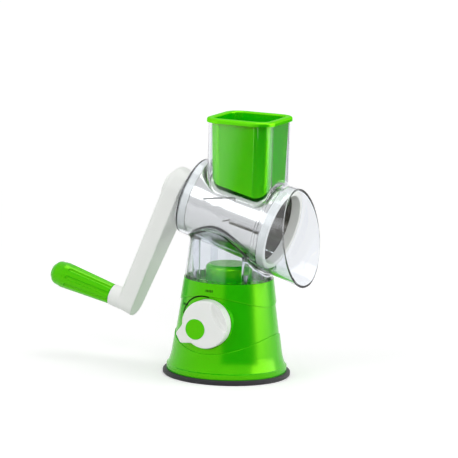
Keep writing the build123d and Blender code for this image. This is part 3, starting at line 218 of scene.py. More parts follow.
class ShaderKit:
    """Shader node groups that several finishes share."""

    OUTPUTS = ("Tone", "Roughness", "Height")
    NOISE_MIDDLE = 0.5
    DRIFT_SCALE = 34.0
    DRIFT_DETAIL = 2.0
    GRAIN_DETAIL = 3.0
    LINE_DETAIL = 4.0

    def __init__(self) -> None:
        """Builds each group once."""
        self.skin = self._moulded_skin()
        self.brushing = self._drum_brushing()

    def _group(
        self, name: str, inputs: dict[str, float]
    ) -> tuple[NodeSheet, bpy.types.Node, bpy.types.Node]:
        """Starts a shader group with float sockets.

        Args:
            name: Name of the group.
            inputs: Input names with their default values.

        Returns:
            The group's sheet, its input node and its output node.
        """
        tree = bpy.data.node_groups.new(name, "ShaderNodeTree")
        for label, value in inputs.items():
            socket = tree.interface.new_socket(label, in_out="INPUT", socket_type="NodeSocketFloat")
            socket.default_value = value
        for label in self.OUTPUTS:
            tree.interface.new_socket(label, in_out="OUTPUT", socket_type="NodeSocketFloat")
        sheet = NodeSheet(tree)
        return sheet, sheet.add("NodeGroupInput"), sheet.add("NodeGroupOutput")

    def _give(
        self,
        sheet: NodeSheet,
        ends: tuple[bpy.types.Node, bpy.types.Node],
        tone: bpy.types.NodeSocket,
        height: bpy.types.NodeSocket,
    ) -> None:
        """Gives a group its outputs, with a gloss that is patchy where the height varies.

        Args:
            sheet: The group's sheet.
            ends: The group's input node and its output node.
            tone: Socket with the tone.
            height: Socket with the height.
        """
        taken, given = ends
        uneven = sheet.math("SUBTRACT", height, self.NOISE_MIDDLE)
        patch = sheet.math("MULTIPLY", uneven, taken.outputs["Patchy"])
        sheet.link(tone, given.inputs["Tone"])
        sheet.link(sheet.math("ADD", taken.outputs["Gloss"], patch), given.inputs["Roughness"])
        sheet.link(height, given.inputs["Height"])

    def _moulded_skin(self) -> bpy.types.NodeTree:
        """Skin of a moulded plastic: a slow drift of tone, a fine grain and a patchy gloss.

        Returns:
            Group with inputs Grain, Gloss and Patchy and outputs Tone, Roughness and Height.
        """
        defaults = {"Grain": 900.0, "Gloss": 0.2, "Patchy": 0.05}
        sheet, taken, given = self._group("moulded_skin", defaults)
        place = sheet.add("ShaderNodeTexCoord").outputs["Object"]
        drift = sheet.noise(place, self.DRIFT_SCALE, self.DRIFT_DETAIL)
        grain = sheet.noise(place, taken.outputs["Grain"], self.GRAIN_DETAIL)
        self._give(sheet, (taken, given), drift, grain)
        return sheet.tree

    def _drum_brushing(self) -> bpy.types.NodeTree:
        """Fine lines rolled into sheet metal, laid along X of the place it is given.

        Returns:
            Group with inputs Along, Across, Gloss, Patchy and Place and outputs Tone, Roughness
            and Height.
        """
        defaults = {"Along": 40.0, "Across": 2600.0, "Gloss": 0.2, "Patchy": 0.1}
        sheet, taken, given = self._group("drum_brushing", defaults)
        sheet.tree.interface.new_socket("Place", in_out="INPUT", socket_type="NodeSocketVector")
        parts = sheet.add("ShaderNodeSeparateXYZ")
        sheet.link(taken.outputs["Place"], parts.inputs[0])
        joined = sheet.add("ShaderNodeCombineXYZ")
        for axis, scale in (("X", "Along"), ("Y", "Across"), ("Z", "Across")):
            scaled = sheet.math("MULTIPLY", parts.outputs[axis], taken.outputs[scale])
            sheet.link(scaled, joined.inputs[axis])
        lines = sheet.noise(joined.outputs[0], 1.0, self.LINE_DETAIL)
        self._give(sheet, (taken, given), lines, lines)
        return sheet.tree


class Paint:
    """One material being made: its sheet, its output and its main shader."""

    def __init__(self, name: str) -> None:
        """Starts an empty material.

        Args:
            name: Name of the material.
        """
        self.material = bpy.data.materials.new(name)
        self.material.use_nodes = True
        tree = self.material.node_tree
        tree.nodes.clear()
        self.sheet = NodeSheet(tree)
        self.output = self.sheet.add("ShaderNodeOutputMaterial")
        self.shader = self.sheet.add("ShaderNodeBsdfPrincipled")

    def set(self, **values: object) -> None:
        """Sets constant inputs of the main shader, named with underscores for spaces."""
        for name, value in values.items():
            self.shader.inputs[name.replace("_", " ")].default_value = value

    def place_group(self, group: bpy.types.NodeTree, **values: float) -> bpy.types.Node:
        """Places a shared group with its own values.

        Args:
            group: The shared node group.
            values: The group's inputs by name.

        Returns:
            The group node.
        """
        node = self.sheet.add("ShaderNodeGroup", node_tree=group)
        for name, value in values.items():
            node.inputs[name].default_value = value
        return node

    def mix_colour(self, share: bpy.types.NodeSocket, first: Colour, second: Colour) -> None:
        """Drives the base colour between two tones.

        Args:
            share: Socket that runs from 0 to 1.
            first: Colour at 0.
            second: Colour at 1.
        """
        mix = self.sheet.add("ShaderNodeMix", data_type="RGBA")
        self.sheet.link(share, mix.inputs["Factor"])
        mix.inputs["A"].default_value = opaque(first)
        mix.inputs["B"].default_value = opaque(second)
        self.sheet.link(mix.outputs["Result"], self.shader.inputs["Base Color"])

    def bump(self, height: bpy.types.NodeSocket, strength: float, depth: float) -> None:
        """Bumps the surface by a height socket.

        Args:
            height: Socket with the height.
            strength: Strength of the bump.
            depth: Depth of the bump in metres.
        """
        node = self.sheet.add("ShaderNodeBump")
        node.inputs["Strength"].default_value = strength
        node.inputs["Distance"].default_value = depth
        self.sheet.link(height, node.inputs["Height"])
        self.sheet.link(node.outputs["Normal"], self.shader.inputs["Normal"])

    def close(self) -> bpy.types.Material:
        """Links the main shader to the output and returns the material."""
        self.sheet.link(self.shader.outputs[0], self.output.inputs["Surface"])
        return self.material

    def close_split(
        self,
        share: bpy.types.NodeSocket,
        first: bpy.types.NodeSocket,
        second: bpy.types.NodeSocket,
    ) -> bpy.types.Material:
        """Links two shaders to the output.

        Args:
            share: Socket with 0 where the first shader shows and 1 where the second does.
            first: Output of the first shader.
            second: Output of the second shader.

        Returns:
            The finished material.
        """
        mix = self.sheet.add("ShaderNodeMixShader")
        for target, source in zip(mix.inputs, (share, first, second)):
            self.sheet.link(source, target)
        self.sheet.link(mix.outputs[0], self.output.inputs["Surface"])
        return self.material


@dataclass(frozen=True)
class MouldedFinish:
    """Opaque moulded plastic, rubber or ink with its own grain and gloss."""

    name: str
    slot: Slot
    colour: Colour
    second: Colour
    gloss: float
    patchy: float
    grain: float
    relief: float
    depth: float
    tint: Colour = PLAIN_WHITE
    ior: float = 1.5

    def material(self, kit: ShaderKit) -> bpy.types.Material:
        """Makes the material.

        Args:
            kit: Shared node groups.

        Returns:
            The finished material.
        """
        paint = Paint(self.name)
        skin = paint.place_group(kit.skin, Grain=self.grain, Gloss=self.gloss, Patchy=self.patchy)
        paint.mix_colour(skin.outputs["Tone"], self.colour, self.second)
        paint.sheet.link(skin.outputs["Roughness"], paint.shader.inputs["Roughness"])
        paint.bump(skin.outputs["Height"], self.relief, self.depth)
        paint.set(Specular_Tint=opaque(self.tint), IOR=self.ior)
        return paint.close()


@dataclass(frozen=True)
class ClearFinish:
    """Clear moulded plastic that lets the lamps through."""

    name: str
    slot: Slot
    colour: Colour
    light: Colour
    roughness: float
    ior: float
    sheen_level: float
    grain: float
    relief: float
    depth: float

    def material(self, kit: ShaderKit) -> bpy.types.Material:
        """Makes the material.

        Args:
            kit: Shared node groups.

        Returns:
            The finished material.
        """
        paint = Paint(self.name)
        paint.set(
            Base_Color=opaque(self.colour),
            Roughness=self.roughness,
            IOR=self.ior,
            Specular_IOR_Level=self.sheen_level,
            Transmission_Weight=1.0,
        )
        skin = paint.place_group(kit.skin, Grain=self.grain)
        paint.bump(skin.outputs["Height"], self.relief, self.depth)
        path = paint.sheet.add("ShaderNodeLightPath")
        through = paint.sheet.add("ShaderNodeBsdfTransparent")
        through.inputs["Color"].default_value = opaque(self.light)
        return paint.close_split(
            path.outputs["Is Shadow Ray"], paint.shader.outputs[0], through.outputs[0]
        )


@dataclass(frozen=True)
class MetalFinish:
    """Rolled or plated metal whose fine lines follow one turned axis."""

    name: str
    slot: Slot
    colour: Colour
    second: Colour
    gloss: float
    patchy: float
    along: float
    across: float
    relief: float
    depth: float
    centre: Point
    tilt: float

    def material(self, kit: ShaderKit) -> bpy.types.Material:
        """Makes the material.

        Args:
            kit: Shared node groups.

        Returns:
            The finished material.
        """
        paint = Paint(self.name)
        sheet = paint.sheet
        place = sheet.add("ShaderNodeTexCoord").outputs["Object"]
        turn = sheet.add("ShaderNodeMapping", vector_type="TEXTURE")
        turn.inputs["Location"].default_value = self.centre
        turn.inputs["Rotation"].default_value = (0.0, self.tilt, 0.0)
        sheet.link(place, turn.inputs["Vector"])
        lines = paint.place_group(
            kit.brushing, Along=self.along, Across=self.across, Gloss=self.gloss, Patchy=self.patchy
        )
        sheet.link(turn.outputs["Vector"], lines.inputs["Place"])
        paint.mix_colour(lines.outputs["Tone"], self.colour, self.second)
        sheet.link(lines.outputs["Roughness"], paint.shader.inputs["Roughness"])
        paint.bump(lines.outputs["Height"], self.relief, self.depth)
        paint.set(Metallic=1.0)
        return paint.close()


Finish = MouldedFinish | ClearFinish | MetalFinish

DRUM_CENTRE: Point = (0.0, 0.0, 169.0 * MM)
DRUM_TILT = math.radians(15.0)

GREEN_PLASTIC = MouldedFinish(
    name="green_gloss_plastic",
    slot=Slot.GREEN,
    colour=linear(3, 174, 2),
    second=linear(5, 180, 3),
    gloss=0.21,
    patchy=0.06,
    grain=1400.0,
    relief=0.03,
    depth=0.2 * MM,
    tint=(0.42, 1.0, 0.02),
    ior=2.6,
)
PUSHER_PLASTIC = replace(
    GREEN_PLASTIC,
    name="pusher_gloss_plastic",
    colour=linear(5, 198, 3),
    second=linear(7, 204, 4),
    tint=(0.36, 1.0, 0.02),
    ior=4.6,
)
WHITE_PLASTIC = MouldedFinish(
    name="white_gloss_plastic",
    slot=Slot.WHITE,
    colour=linear(232, 235, 231),
    second=linear(236, 238, 235),
    gloss=0.3,
    patchy=0.08,
    grain=1100.0,
    relief=0.08,
    depth=0.2 * MM,
)
CLEAR_PLASTIC = ClearFinish(
    name="clear_plastic",
    slot=Slot.CLEAR,
    colour=(0.865, 0.886, 0.92),
    light=(0.99, 0.99, 0.995),
    roughness=0.015,
    ior=1.49,
    sheen_level=0.45,
    grain=160.0,
    relief=0.012,
    depth=0.3 * MM,
)
DRUM_STEEL = MetalFinish(
    name="rolled_drum_steel",
    slot=Slot.STEEL,
    colour=linear(222, 220, 216),
    second=linear(230, 228, 224),
    gloss=0.17,
    patchy=0.06,
    along=24.0,
    across=1900.0,
    relief=0.03,
    depth=0.2 * MM,
    centre=DRUM_CENTRE,
    tilt=DRUM_TILT,
)
FOOT_RUBBER = MouldedFinish(
    name="foot_rubber",
    slot=Slot.RUBBER,
    colour=linear(20, 20, 24),
    second=linear(28, 28, 32),
    gloss=0.55,
    patchy=0.2,
    grain=700.0,
    relief=0.25,
    depth=0.3 * MM,
)
INNER_PLASTIC = MouldedFinish(
    name="inner_grey_plastic",
    slot=Slot.INNER,
    colour=linear(196, 198, 196),
    second=linear(208, 210, 208),
    gloss=0.45,
    patchy=0.12,
    grain=800.0,
    relief=0.15,
    depth=0.3 * MM,
)
ZINC_PLATE = MetalFinish(
    name="zinc_plate",
    slot=Slot.ZINC,
    colour=linear(182, 186, 190),
    second=linear(206, 208, 210),
    gloss=0.32,
    patchy=0.2,
    along=900.0,
    across=900.0,
    relief=0.1,
    depth=0.1 * MM,
    centre=DRUM_CENTRE,
    tilt=DRUM_TILT,
)
DIAL_INK = MouldedFinish(
    name="dial_ink",
    slot=Slot.RUBBER,
    colour=linear(14, 22, 12),
    second=linear(22, 34, 16),
    gloss=0.7,
    patchy=0.1,
    grain=1600.0,
    relief=0.1,
    depth=0.1 * MM,
    ior=1.15,
)
FINISHES: tuple[Finish, ...] = (
    GREEN_PLASTIC,
    PUSHER_PLASTIC,
    WHITE_PLASTIC,
    CLEAR_PLASTIC,
    DRUM_STEEL,
    FOOT_RUBBER,
    INNER_PLASTIC,
    ZINC_PLATE,
    DIAL_INK,
)


class Wardrobe:
    """All materials of the part, by the name of their finish."""

    def __init__(self) -> None:
        """Makes every material from the shared groups."""
        kit = ShaderKit()
        self.materials = {finish.name: finish.material(kit) for finish in FINISHES}

    def cover(self, piece: bpy.types.Object, finish: Finish) -> None:
        """Puts a finish on an object in place of what it wore."""
        piece.data.materials.clear()
        piece.data.materials.append(self.materials[finish.name])

    def dress(self, finish: Finish, *nodes: str) -> None:
        """Puts a finish on solids of the frame.

        Args:
            finish: The finish to wear.
            nodes: Names of the solids.
        """
        for name in nodes:
            self.cover(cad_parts[name], finish)
            LOG.info("%s wears %s", name, finish.name)

    def settle(self, piece: bpy.types.Object, finish: Finish, body: Body) -> None:
        """Gives a new piece its finish and the body that it moves with.

        Args:
            piece: The new piece.
            finish: The finish to wear.
            body: The body that carries it.
        """
        self.cover(piece, finish)
        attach(piece, body.value)
        LOG.info("%s rides on %s in %s", piece.name, body.value, finish.name)


class GeometryTree:
    """A Geometry Nodes tree with named inputs, run once into a plain mesh."""

    OUTWARD = 1.0

    def __init__(self, name: str, inputs: dict[str, str]) -> None:
        """Starts the tree.

        Args:
            name: Name of the tree.
            inputs: Socket types of its inputs by name.
        """
        self.tree = bpy.data.node_groups.new(name, "GeometryNodeTree")
        self.keys: dict[str, str] = {}
        for label, kind in inputs.items():
            socket = self.tree.interface.new_socket(label, in_out="INPUT", socket_type=kind)
            self.keys[label] = socket.identifier
        self.tree.interface.new_socket("Geometry", in_out="OUTPUT", socket_type="NodeSocketGeometry")
        self.sheet = NodeSheet(self.tree)
        self.taken = self.sheet.add("NodeGroupInput").outputs
        self.given = self.sheet.add("NodeGroupOutput").inputs

    def finish(self, geometry: bpy.types.NodeSocket) -> None:
        """Ends the tree in Realize Instances and Set Material.

        Args:
            geometry: Socket with the geometry so far.
        """
        real = self.sheet.add("GeometryNodeRealizeInstances")
        self.sheet.link(geometry, real.inputs["Geometry"])
        dressed = self.sheet.add("GeometryNodeSetMaterial")
        self.sheet.link(real.outputs["Geometry"], dressed.inputs["Geometry"])
        self.sheet.link(self.taken["Material"], dressed.inputs["Material"])
        self.sheet.link(dressed.outputs["Geometry"], self.given["Geometry"])

    def run(self, name: str, values: dict[str, object], wall: float = 0.0) -> bpy.types.Mesh:
        """Runs the tree on an empty mesh.

        Args:
            name: Name of the mesh that comes out.
            values: Input values by name.
            wall: Thickness to give an open sheet, in metres.

        Returns:
            A plain mesh with no modifier left on it.
        """
        holder = put(name, bpy.data.meshes.new(name))
        modifier = holder.modifiers.new(name, "NODES")
        modifier.node_group = self.tree
        for label, value in values.items():
            modifier[self.keys[label]] = value
        if wall:
            sheet_wall = holder.modifiers.new("wall", "SOLIDIFY")
            sheet_wall.thickness = wall
            sheet_wall.offset = self.OUTWARD
        graph = bpy.context.evaluated_depsgraph_get()
        mesh = bpy.data.meshes.new_from_object(holder.evaluated_get(graph))
        mesh.name = name
        bpy.data.objects.remove(holder)
        return mesh


def new_piece(name: str, meshes: Sequence[bpy.types.Mesh]) -> bpy.types.Object:
    """Joins meshes that lie in place into one object at the origin.

    Args:
        name: Name of the piece.
        meshes: Its meshes.

    Returns:
        The linked object.
    """
    shape = bmesh.new()
    for mesh in meshes:
        shape.from_mesh(mesh)
    joined = bpy.data.meshes.new(name)
    shape.to_mesh(joined)
    shape.free()
    return put(name, joined)


@dataclass(frozen=True)
class InkMark:
    """Band of ink on part of a circle, with lengths in metres and angles in degrees."""

    x: float
    z: float
    radius: float
    width: float
    start: float
    sweep: float
    points: int


@dataclass
class Base:
    """Suction base: shell, cup, inner frame and the dial printed round the knob.

    The dial is one arc, with a short row of plain strokes at each end of it.
    """

    shell_finish: Finish = GREEN_PLASTIC
    cup_finish: Finish = FOOT_RUBBER
    inner_finish: Finish = INNER_PLASTIC
    metal_finish: Finish = ZINC_PLATE
    ink_finish: Finish = DIAL_INK
    dial_x: float = -6.0 * MM
    dial_z: float = 58.8 * MM
    dial_radius: float = 27.7 * MM
    line_width: float = 1.5 * MM
    line_start: float = 79.0
    line_sweep: float = 88.0
    line_points: int = 120
    row_x: tuple[float, float] = (-0.9 * MM, -30.6 * MM)
    row_z: tuple[float, float] = (92.4 * MM, 74.5 * MM)
    tick_radius: float = 30.0 * MM
    tick_height: float = 2.4 * MM
    tick_sweep: float = 1.7
    tick_step: float = 1.7 * MM
    tick_points: int = 3
    ticks: int = 5
    ink_wall: float = 0.12 * MM
    ink_rows: int = 11
    ray_start: float = -200.0 * MM
    ray_length: float = 500.0 * MM

    def build(self, wardrobe: Wardrobe) -> None:
        """Dresses the solids and prints the dial.

        Args:
            wardrobe: The part's materials.
        """
        wardrobe.dress(self.shell_finish, "base_shell")
        wardrobe.dress(self.cup_finish, "suction_cup")
        wardrobe.dress(self.inner_finish, "base_frame", "lift_post")
        wardrobe.dress(self.metal_finish, "frame_screws", "spreader")
        self.print_dial(wardrobe)

    def marks(self) -> list[InkMark]:
        """Lists the dial's marks.

        Returns:
            The arc, then the strokes of both rows.
        """
        marks = [
            InkMark(
                x=self.dial_x,
                z=self.dial_z,
                radius=self.dial_radius,
                width=self.line_width,
                start=self.line_start,
                sweep=self.line_sweep,
                points=self.line_points,
            )
        ]
        for row_x, row_z in zip(self.row_x, self.row_z):
            for number in range(self.ticks):
                tick = InkMark(
                    x=row_x + (number - (self.ticks - 1) / 2) * self.tick_step,
                    z=row_z - self.tick_radius,
                    radius=self.tick_radius,
                    width=self.tick_height,
                    start=QUARTER_TURN - self.tick_sweep / 2,
                    sweep=self.tick_sweep,
                    points=self.tick_points,
                )
                marks.append(tick)
        return marks

    def print_dial(self, wardrobe: Wardrobe) -> None:
        """Prints the arc and its two rows of strokes on the shell.

        Args:
            wardrobe: The part's materials.
        """
        tree = self.print_tree()
        meshes = []
        for number, mark in enumerate(self.marks()):
            inputs = {
                "Shell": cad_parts["base_shell"],
                "Middle X": mark.x,
                "Middle Z": mark.z,
                "Radius": mark.radius,
                "Width": mark.width,
                "Start": math.radians(mark.start),
                "Sweep": math.radians(mark.sweep),
                "Points": mark.points,
                "Material": wardrobe.materials[self.ink_finish.name],
            }
            meshes.append(tree.run(f"dial_mark_{number}", inputs, wall=self.ink_wall))
        wardrobe.settle(new_piece("dial_print", meshes), self.ink_finish, Body.BASE)

    def print_tree(self) -> GeometryTree:
        """Tree that lays a curved band on the front of the shell.

        Returns:
            The tree, whose inputs give the shell and the band's circle, width and ends.
        """
        tree = GeometryTree(
            "print_on_shell",
            {
                "Shell": "NodeSocketObject",
                "Middle X": "NodeSocketFloat",
                "Middle Z": "NodeSocketFloat",
                "Radius": "NodeSocketFloat",
                "Width": "NodeSocketFloat",
                "Start": "NodeSocketFloat",
                "Sweep": "NodeSocketFloat",
                "Points": "NodeSocketInt",
                "Material": "NodeSocketMaterial",
            },
        )
        sheet, taken = tree.sheet, tree.taken
        side = 1.0
        grid = sheet.add("GeometryNodeMeshGrid")
        grid.inputs["Size X"].default_value = side
        grid.inputs["Size Y"].default_value = side
        grid.inputs["Vertices Y"].default_value = self.ink_rows
        sheet.link(taken["Points"], grid.inputs["Vertices X"])
        place = sheet.add("ShaderNodeSeparateXYZ")
        sheet.link(sheet.add("GeometryNodeInputPosition").outputs[0], place.inputs[0])
        share = sheet.math("ADD", place.outputs["X"], side / 2)
        turn = sheet.math("ADD", taken["Start"], sheet.math("MULTIPLY", share, taken["Sweep"]))
        offset = sheet.math("MULTIPLY", place.outputs["Y"], taken["Width"])
        reach = sheet.math("ADD", taken["Radius"], offset)
        across = sheet.math("MULTIPLY", reach, sheet.math("COSINE", turn))
        up = sheet.math("MULTIPLY", reach, sheet.math("SINE", turn))
        start = sheet.add("ShaderNodeCombineXYZ")
        start.inputs["Y"].default_value = self.ray_start
        sheet.link(sheet.math("ADD", taken["Middle X"], across), start.inputs["X"])
        sheet.link(sheet.math("ADD", taken["Middle Z"], up), start.inputs["Z"])
        flat = sheet.add("GeometryNodeSetPosition")
        sheet.link(grid.outputs["Mesh"], flat.inputs["Geometry"])
        sheet.link(start.outputs[0], flat.inputs["Position"])
        shell = sheet.add("GeometryNodeObjectInfo", transform_space="RELATIVE")
        sheet.link(taken["Shell"], shell.inputs["Object"])
        ray = sheet.add("GeometryNodeRaycast")
        ray.inputs["Ray Direction"].default_value = (0.0, 1.0, 0.0)
        ray.inputs["Ray Length"].default_value = self.ray_length
        sheet.link(shell.outputs["Geometry"], ray.inputs["Target Geometry"])
        laid = sheet.add("GeometryNodeSetPosition")
        sheet.link(flat.outputs["Geometry"], laid.inputs["Geometry"])
        sheet.link(ray.outputs["Hit Position"], laid.inputs["Position"])
        faced = sheet.add("GeometryNodeFlipFaces")
        sheet.link(laid.outputs["Geometry"], faced.inputs["Mesh"])
        tree.finish(faced.outputs["Mesh"])
        return tree


@dataclass
class LockKnob:
    """Lock knob with its inlay, shaft and clip."""

    knob_finish: Finish = WHITE_PLASTIC
    inlay_finish: Finish = GREEN_PLASTIC
    shaft_finish: Finish = INNER_PLASTIC
    clip_finish: Finish = ZINC_PLATE

    def build(self, wardrobe: Wardrobe) -> None:
        """Dresses the knob's solids.

        Args:
            wardrobe: The part's materials.
        """
        wardrobe.dress(self.knob_finish, "knob")
        wardrobe.dress(self.inlay_finish, "knob_inlay")
        wardrobe.dress(self.shaft_finish, "cam_shaft")
        wardrobe.dress(self.clip_finish, "shaft_clip")


@dataclass
class Housing:
    """Clear housing with the short ribs that stiffen its spigot."""

    clear_finish: Finish = CLEAR_PLASTIC
    screw_finish: Finish = ZINC_PLATE
    bush_finish: Finish = INNER_PLASTIC
    ribs: int = 40
    rib_radius: float = 40.1 * MM
    rib_depth: float = 1.5 * MM
    rib_width: float = 1.0 * MM
    rib_height: float = 8.0 * MM
    rib_foot: float = 94.2 * MM

    def build(self, wardrobe: Wardrobe) -> None:
        """Dresses the solids and adds the ribs.

        Args:
            wardrobe: The part's materials.
        """
        wardrobe.dress(self.clear_finish, "housing")
        wardrobe.dress(self.screw_finish, "housing_screws")
        wardrobe.dress(self.bush_finish, "drive_bush")
        mesh = self.rib_tree().run(
            "spigot_ribs",
            {
                "Ribs": self.ribs,
                "Radius": self.rib_radius,
                "Size": Vector((self.rib_depth, self.rib_width, self.rib_height)),
                "Middle Height": self.rib_foot + self.rib_height / 2,
                "Material": wardrobe.materials[self.clear_finish.name],
            },
        )
        wardrobe.settle(new_piece("spigot_ribs", [mesh]), self.clear_finish, Body.BASE)

    @staticmethod
    def rib_tree() -> GeometryTree:
        """Tree that stands short ribs in a ring, each facing the middle.

        Returns:
            The tree, whose inputs give the count, the ring and each rib's size.
        """
        tree = GeometryTree(
            "ring_of_ribs",
            {
                "Ribs": "NodeSocketInt",
                "Radius": "NodeSocketFloat",
                "Size": "NodeSocketVector",
                "Middle Height": "NodeSocketFloat",
                "Material": "NodeSocketMaterial",
            },
        )
        sheet, taken = tree.sheet, tree.taken
        ring = sheet.add("GeometryNodeMeshCircle")
        sheet.link(taken["Ribs"], ring.inputs["Vertices"])
        sheet.link(taken["Radius"], ring.inputs["Radius"])
        rib = sheet.add("GeometryNodeMeshCube")
        sheet.link(taken["Size"], rib.inputs["Size"])
        facing = sheet.add("FunctionNodeAlignRotationToVector", axis="X")
        sheet.link(sheet.add("GeometryNodeInputPosition").outputs[0], facing.inputs["Vector"])
        stand = sheet.add("GeometryNodeInstanceOnPoints")
        sheet.link(ring.outputs["Mesh"], stand.inputs["Points"])
        sheet.link(rib.outputs["Mesh"], stand.inputs["Instance"])
        sheet.link(facing.outputs["Rotation"], stand.inputs["Rotation"])
        rise = sheet.add("ShaderNodeCombineXYZ")
        sheet.link(taken["Middle Height"], rise.inputs["Z"])
        lifted = sheet.add("GeometryNodeTransform")
        sheet.link(stand.outputs["Instances"], lifted.inputs["Geometry"])
        sheet.link(rise.outputs[0], lifted.inputs["Translation"])
        tree.finish(lifted.outputs["Geometry"])
        return tree


@dataclass
class Drum:
    """Grating drum: steel sheet between two moulded rings."""

    sheet_finish: Finish = DRUM_STEEL
    ring_finish: Finish = WHITE_PLASTIC

    def build(self, wardrobe: Wardrobe) -> None:
        """Dresses the drum's solids.

        Args:
            wardrobe: The part's materials.
        """
        wardrobe.dress(self.sheet_finish, "drum_sheet")
        wardrobe.dress(self.ring_finish, "drum_front_ring", "drum_back_ring")


@dataclass
class Crank:
    """Crank arm with its shaft, its fasteners and the grip at its tip."""

    arm_finish: Finish = WHITE_PLASTIC
    shaft_finish: Finish = INNER_PLASTIC
    snug_finish: Finish = FOOT_RUBBER
    metal_finish: Finish = ZINC_PLATE
    grip_finish: Finish = GREEN_PLASTIC

    def build(self, wardrobe: Wardrobe) -> None:
        """Dresses the solids of the crank and its grip.

        Args:
            wardrobe: The part's materials.
        """
        wardrobe.dress(self.arm_finish, "crank_arm", "hub_cap")
        wardrobe.dress(self.shaft_finish, "drive_shaft")
        wardrobe.dress(self.snug_finish, "snug_ring")
        wardrobe.dress(self.metal_finish, "crank_washer", "crank_screw")
        wardrobe.dress(self.metal_finish, "grip_pin", "grip_washer", "grip_screw")
        wardrobe.dress(self.grip_finish, "grip", "grip_cap")


@dataclass
class Pusher:
    """Hollow pusher that presses the food on the drum."""

    finish: Finish = PUSHER_PLASTIC

    def build(self, wardrobe: Wardrobe) -> None:
        """Dresses the pusher."""
        wardrobe.dress(self.finish, "pusher")


@dataclass(frozen=True)
class SoftBox:
    """Oblong lamp that faces the part. One that isn't mirrored leaves no spot in a gloss."""

    name: str
    place: Point
    width: float
    height: float
    power: float
    mirrored: bool = True


@dataclass(frozen=True)
class Flag:
    """Dark card round the part that only reflections show, soft at its two ends.

    Its lower edge is at near and foot, and its upper edge at far and top, in metres. It runs from
    start to end, in degrees round the part from the front, and fades over soft degrees.
    """

    name: str
    near: float
    far: float
    foot: float
    top: float
    start: float
    end: float
    soft: float
    dark: float = 0.03

    def mesh(self, steps: int = 48) -> bpy.types.Mesh:
        """Bends the card round the part's upright middle line.

        Args:
            steps: Number of faces along the card.

        Returns:
            The card's mesh.
        """
        points = []
        for step in range(steps + 1):
            turn = math.radians(self.start + (self.end - self.start) * step / steps)
            for reach, height in ((self.near, self.foot), (self.far, self.top)):
                points.append((reach * math.sin(turn), -reach * math.cos(turn), height))
        faces = [(2 * n, 2 * n + 2, 2 * n + 3, 2 * n + 1) for n in range(steps)]
        mesh = bpy.data.meshes.new(self.name)
        mesh.from_pydata(points, [], faces)
        mesh.materials.append(self.material())
        return mesh

    def material(self) -> bpy.types.Material:
        """Glow that falls from white at the card's ends to dark inside them.

        Returns:
            The card's material.
        """
        paint = Paint(self.name)
        sheet = paint.sheet
        sheet.tree.nodes.remove(paint.shader)
        place = sheet.add("ShaderNodeSeparateXYZ")
        sheet.link(sheet.add("ShaderNodeTexCoord").outputs["Object"], place.inputs[0])
        back = sheet.math("MULTIPLY", place.outputs["Y"], -1.0)
        turn = sheet.math("ARCTAN2", place.outputs["X"], back)
        first = (math.radians(self.start), math.radians(self.start + self.soft))
        last = (math.radians(self.end - self.soft), math.radians(self.end))
        falling = sheet.fade(turn, first, (1.0, self.dark))
        rising = sheet.fade(turn, last, (self.dark, 1.0))
        glow = sheet.add("ShaderNodeEmission")
        sheet.link(sheet.math("MAXIMUM", falling, rising), glow.inputs["Strength"])
        path = sheet.add("ShaderNodeLightPath")
        mirrored = sheet.math("GREATER_THAN", path.outputs["Glossy Depth"], DEPTH_SPLIT)
        unseen = sheet.add("ShaderNodeBsdfTransparent")
        return paint.close_split(mirrored, unseen.outputs[0], glow.outputs[0])


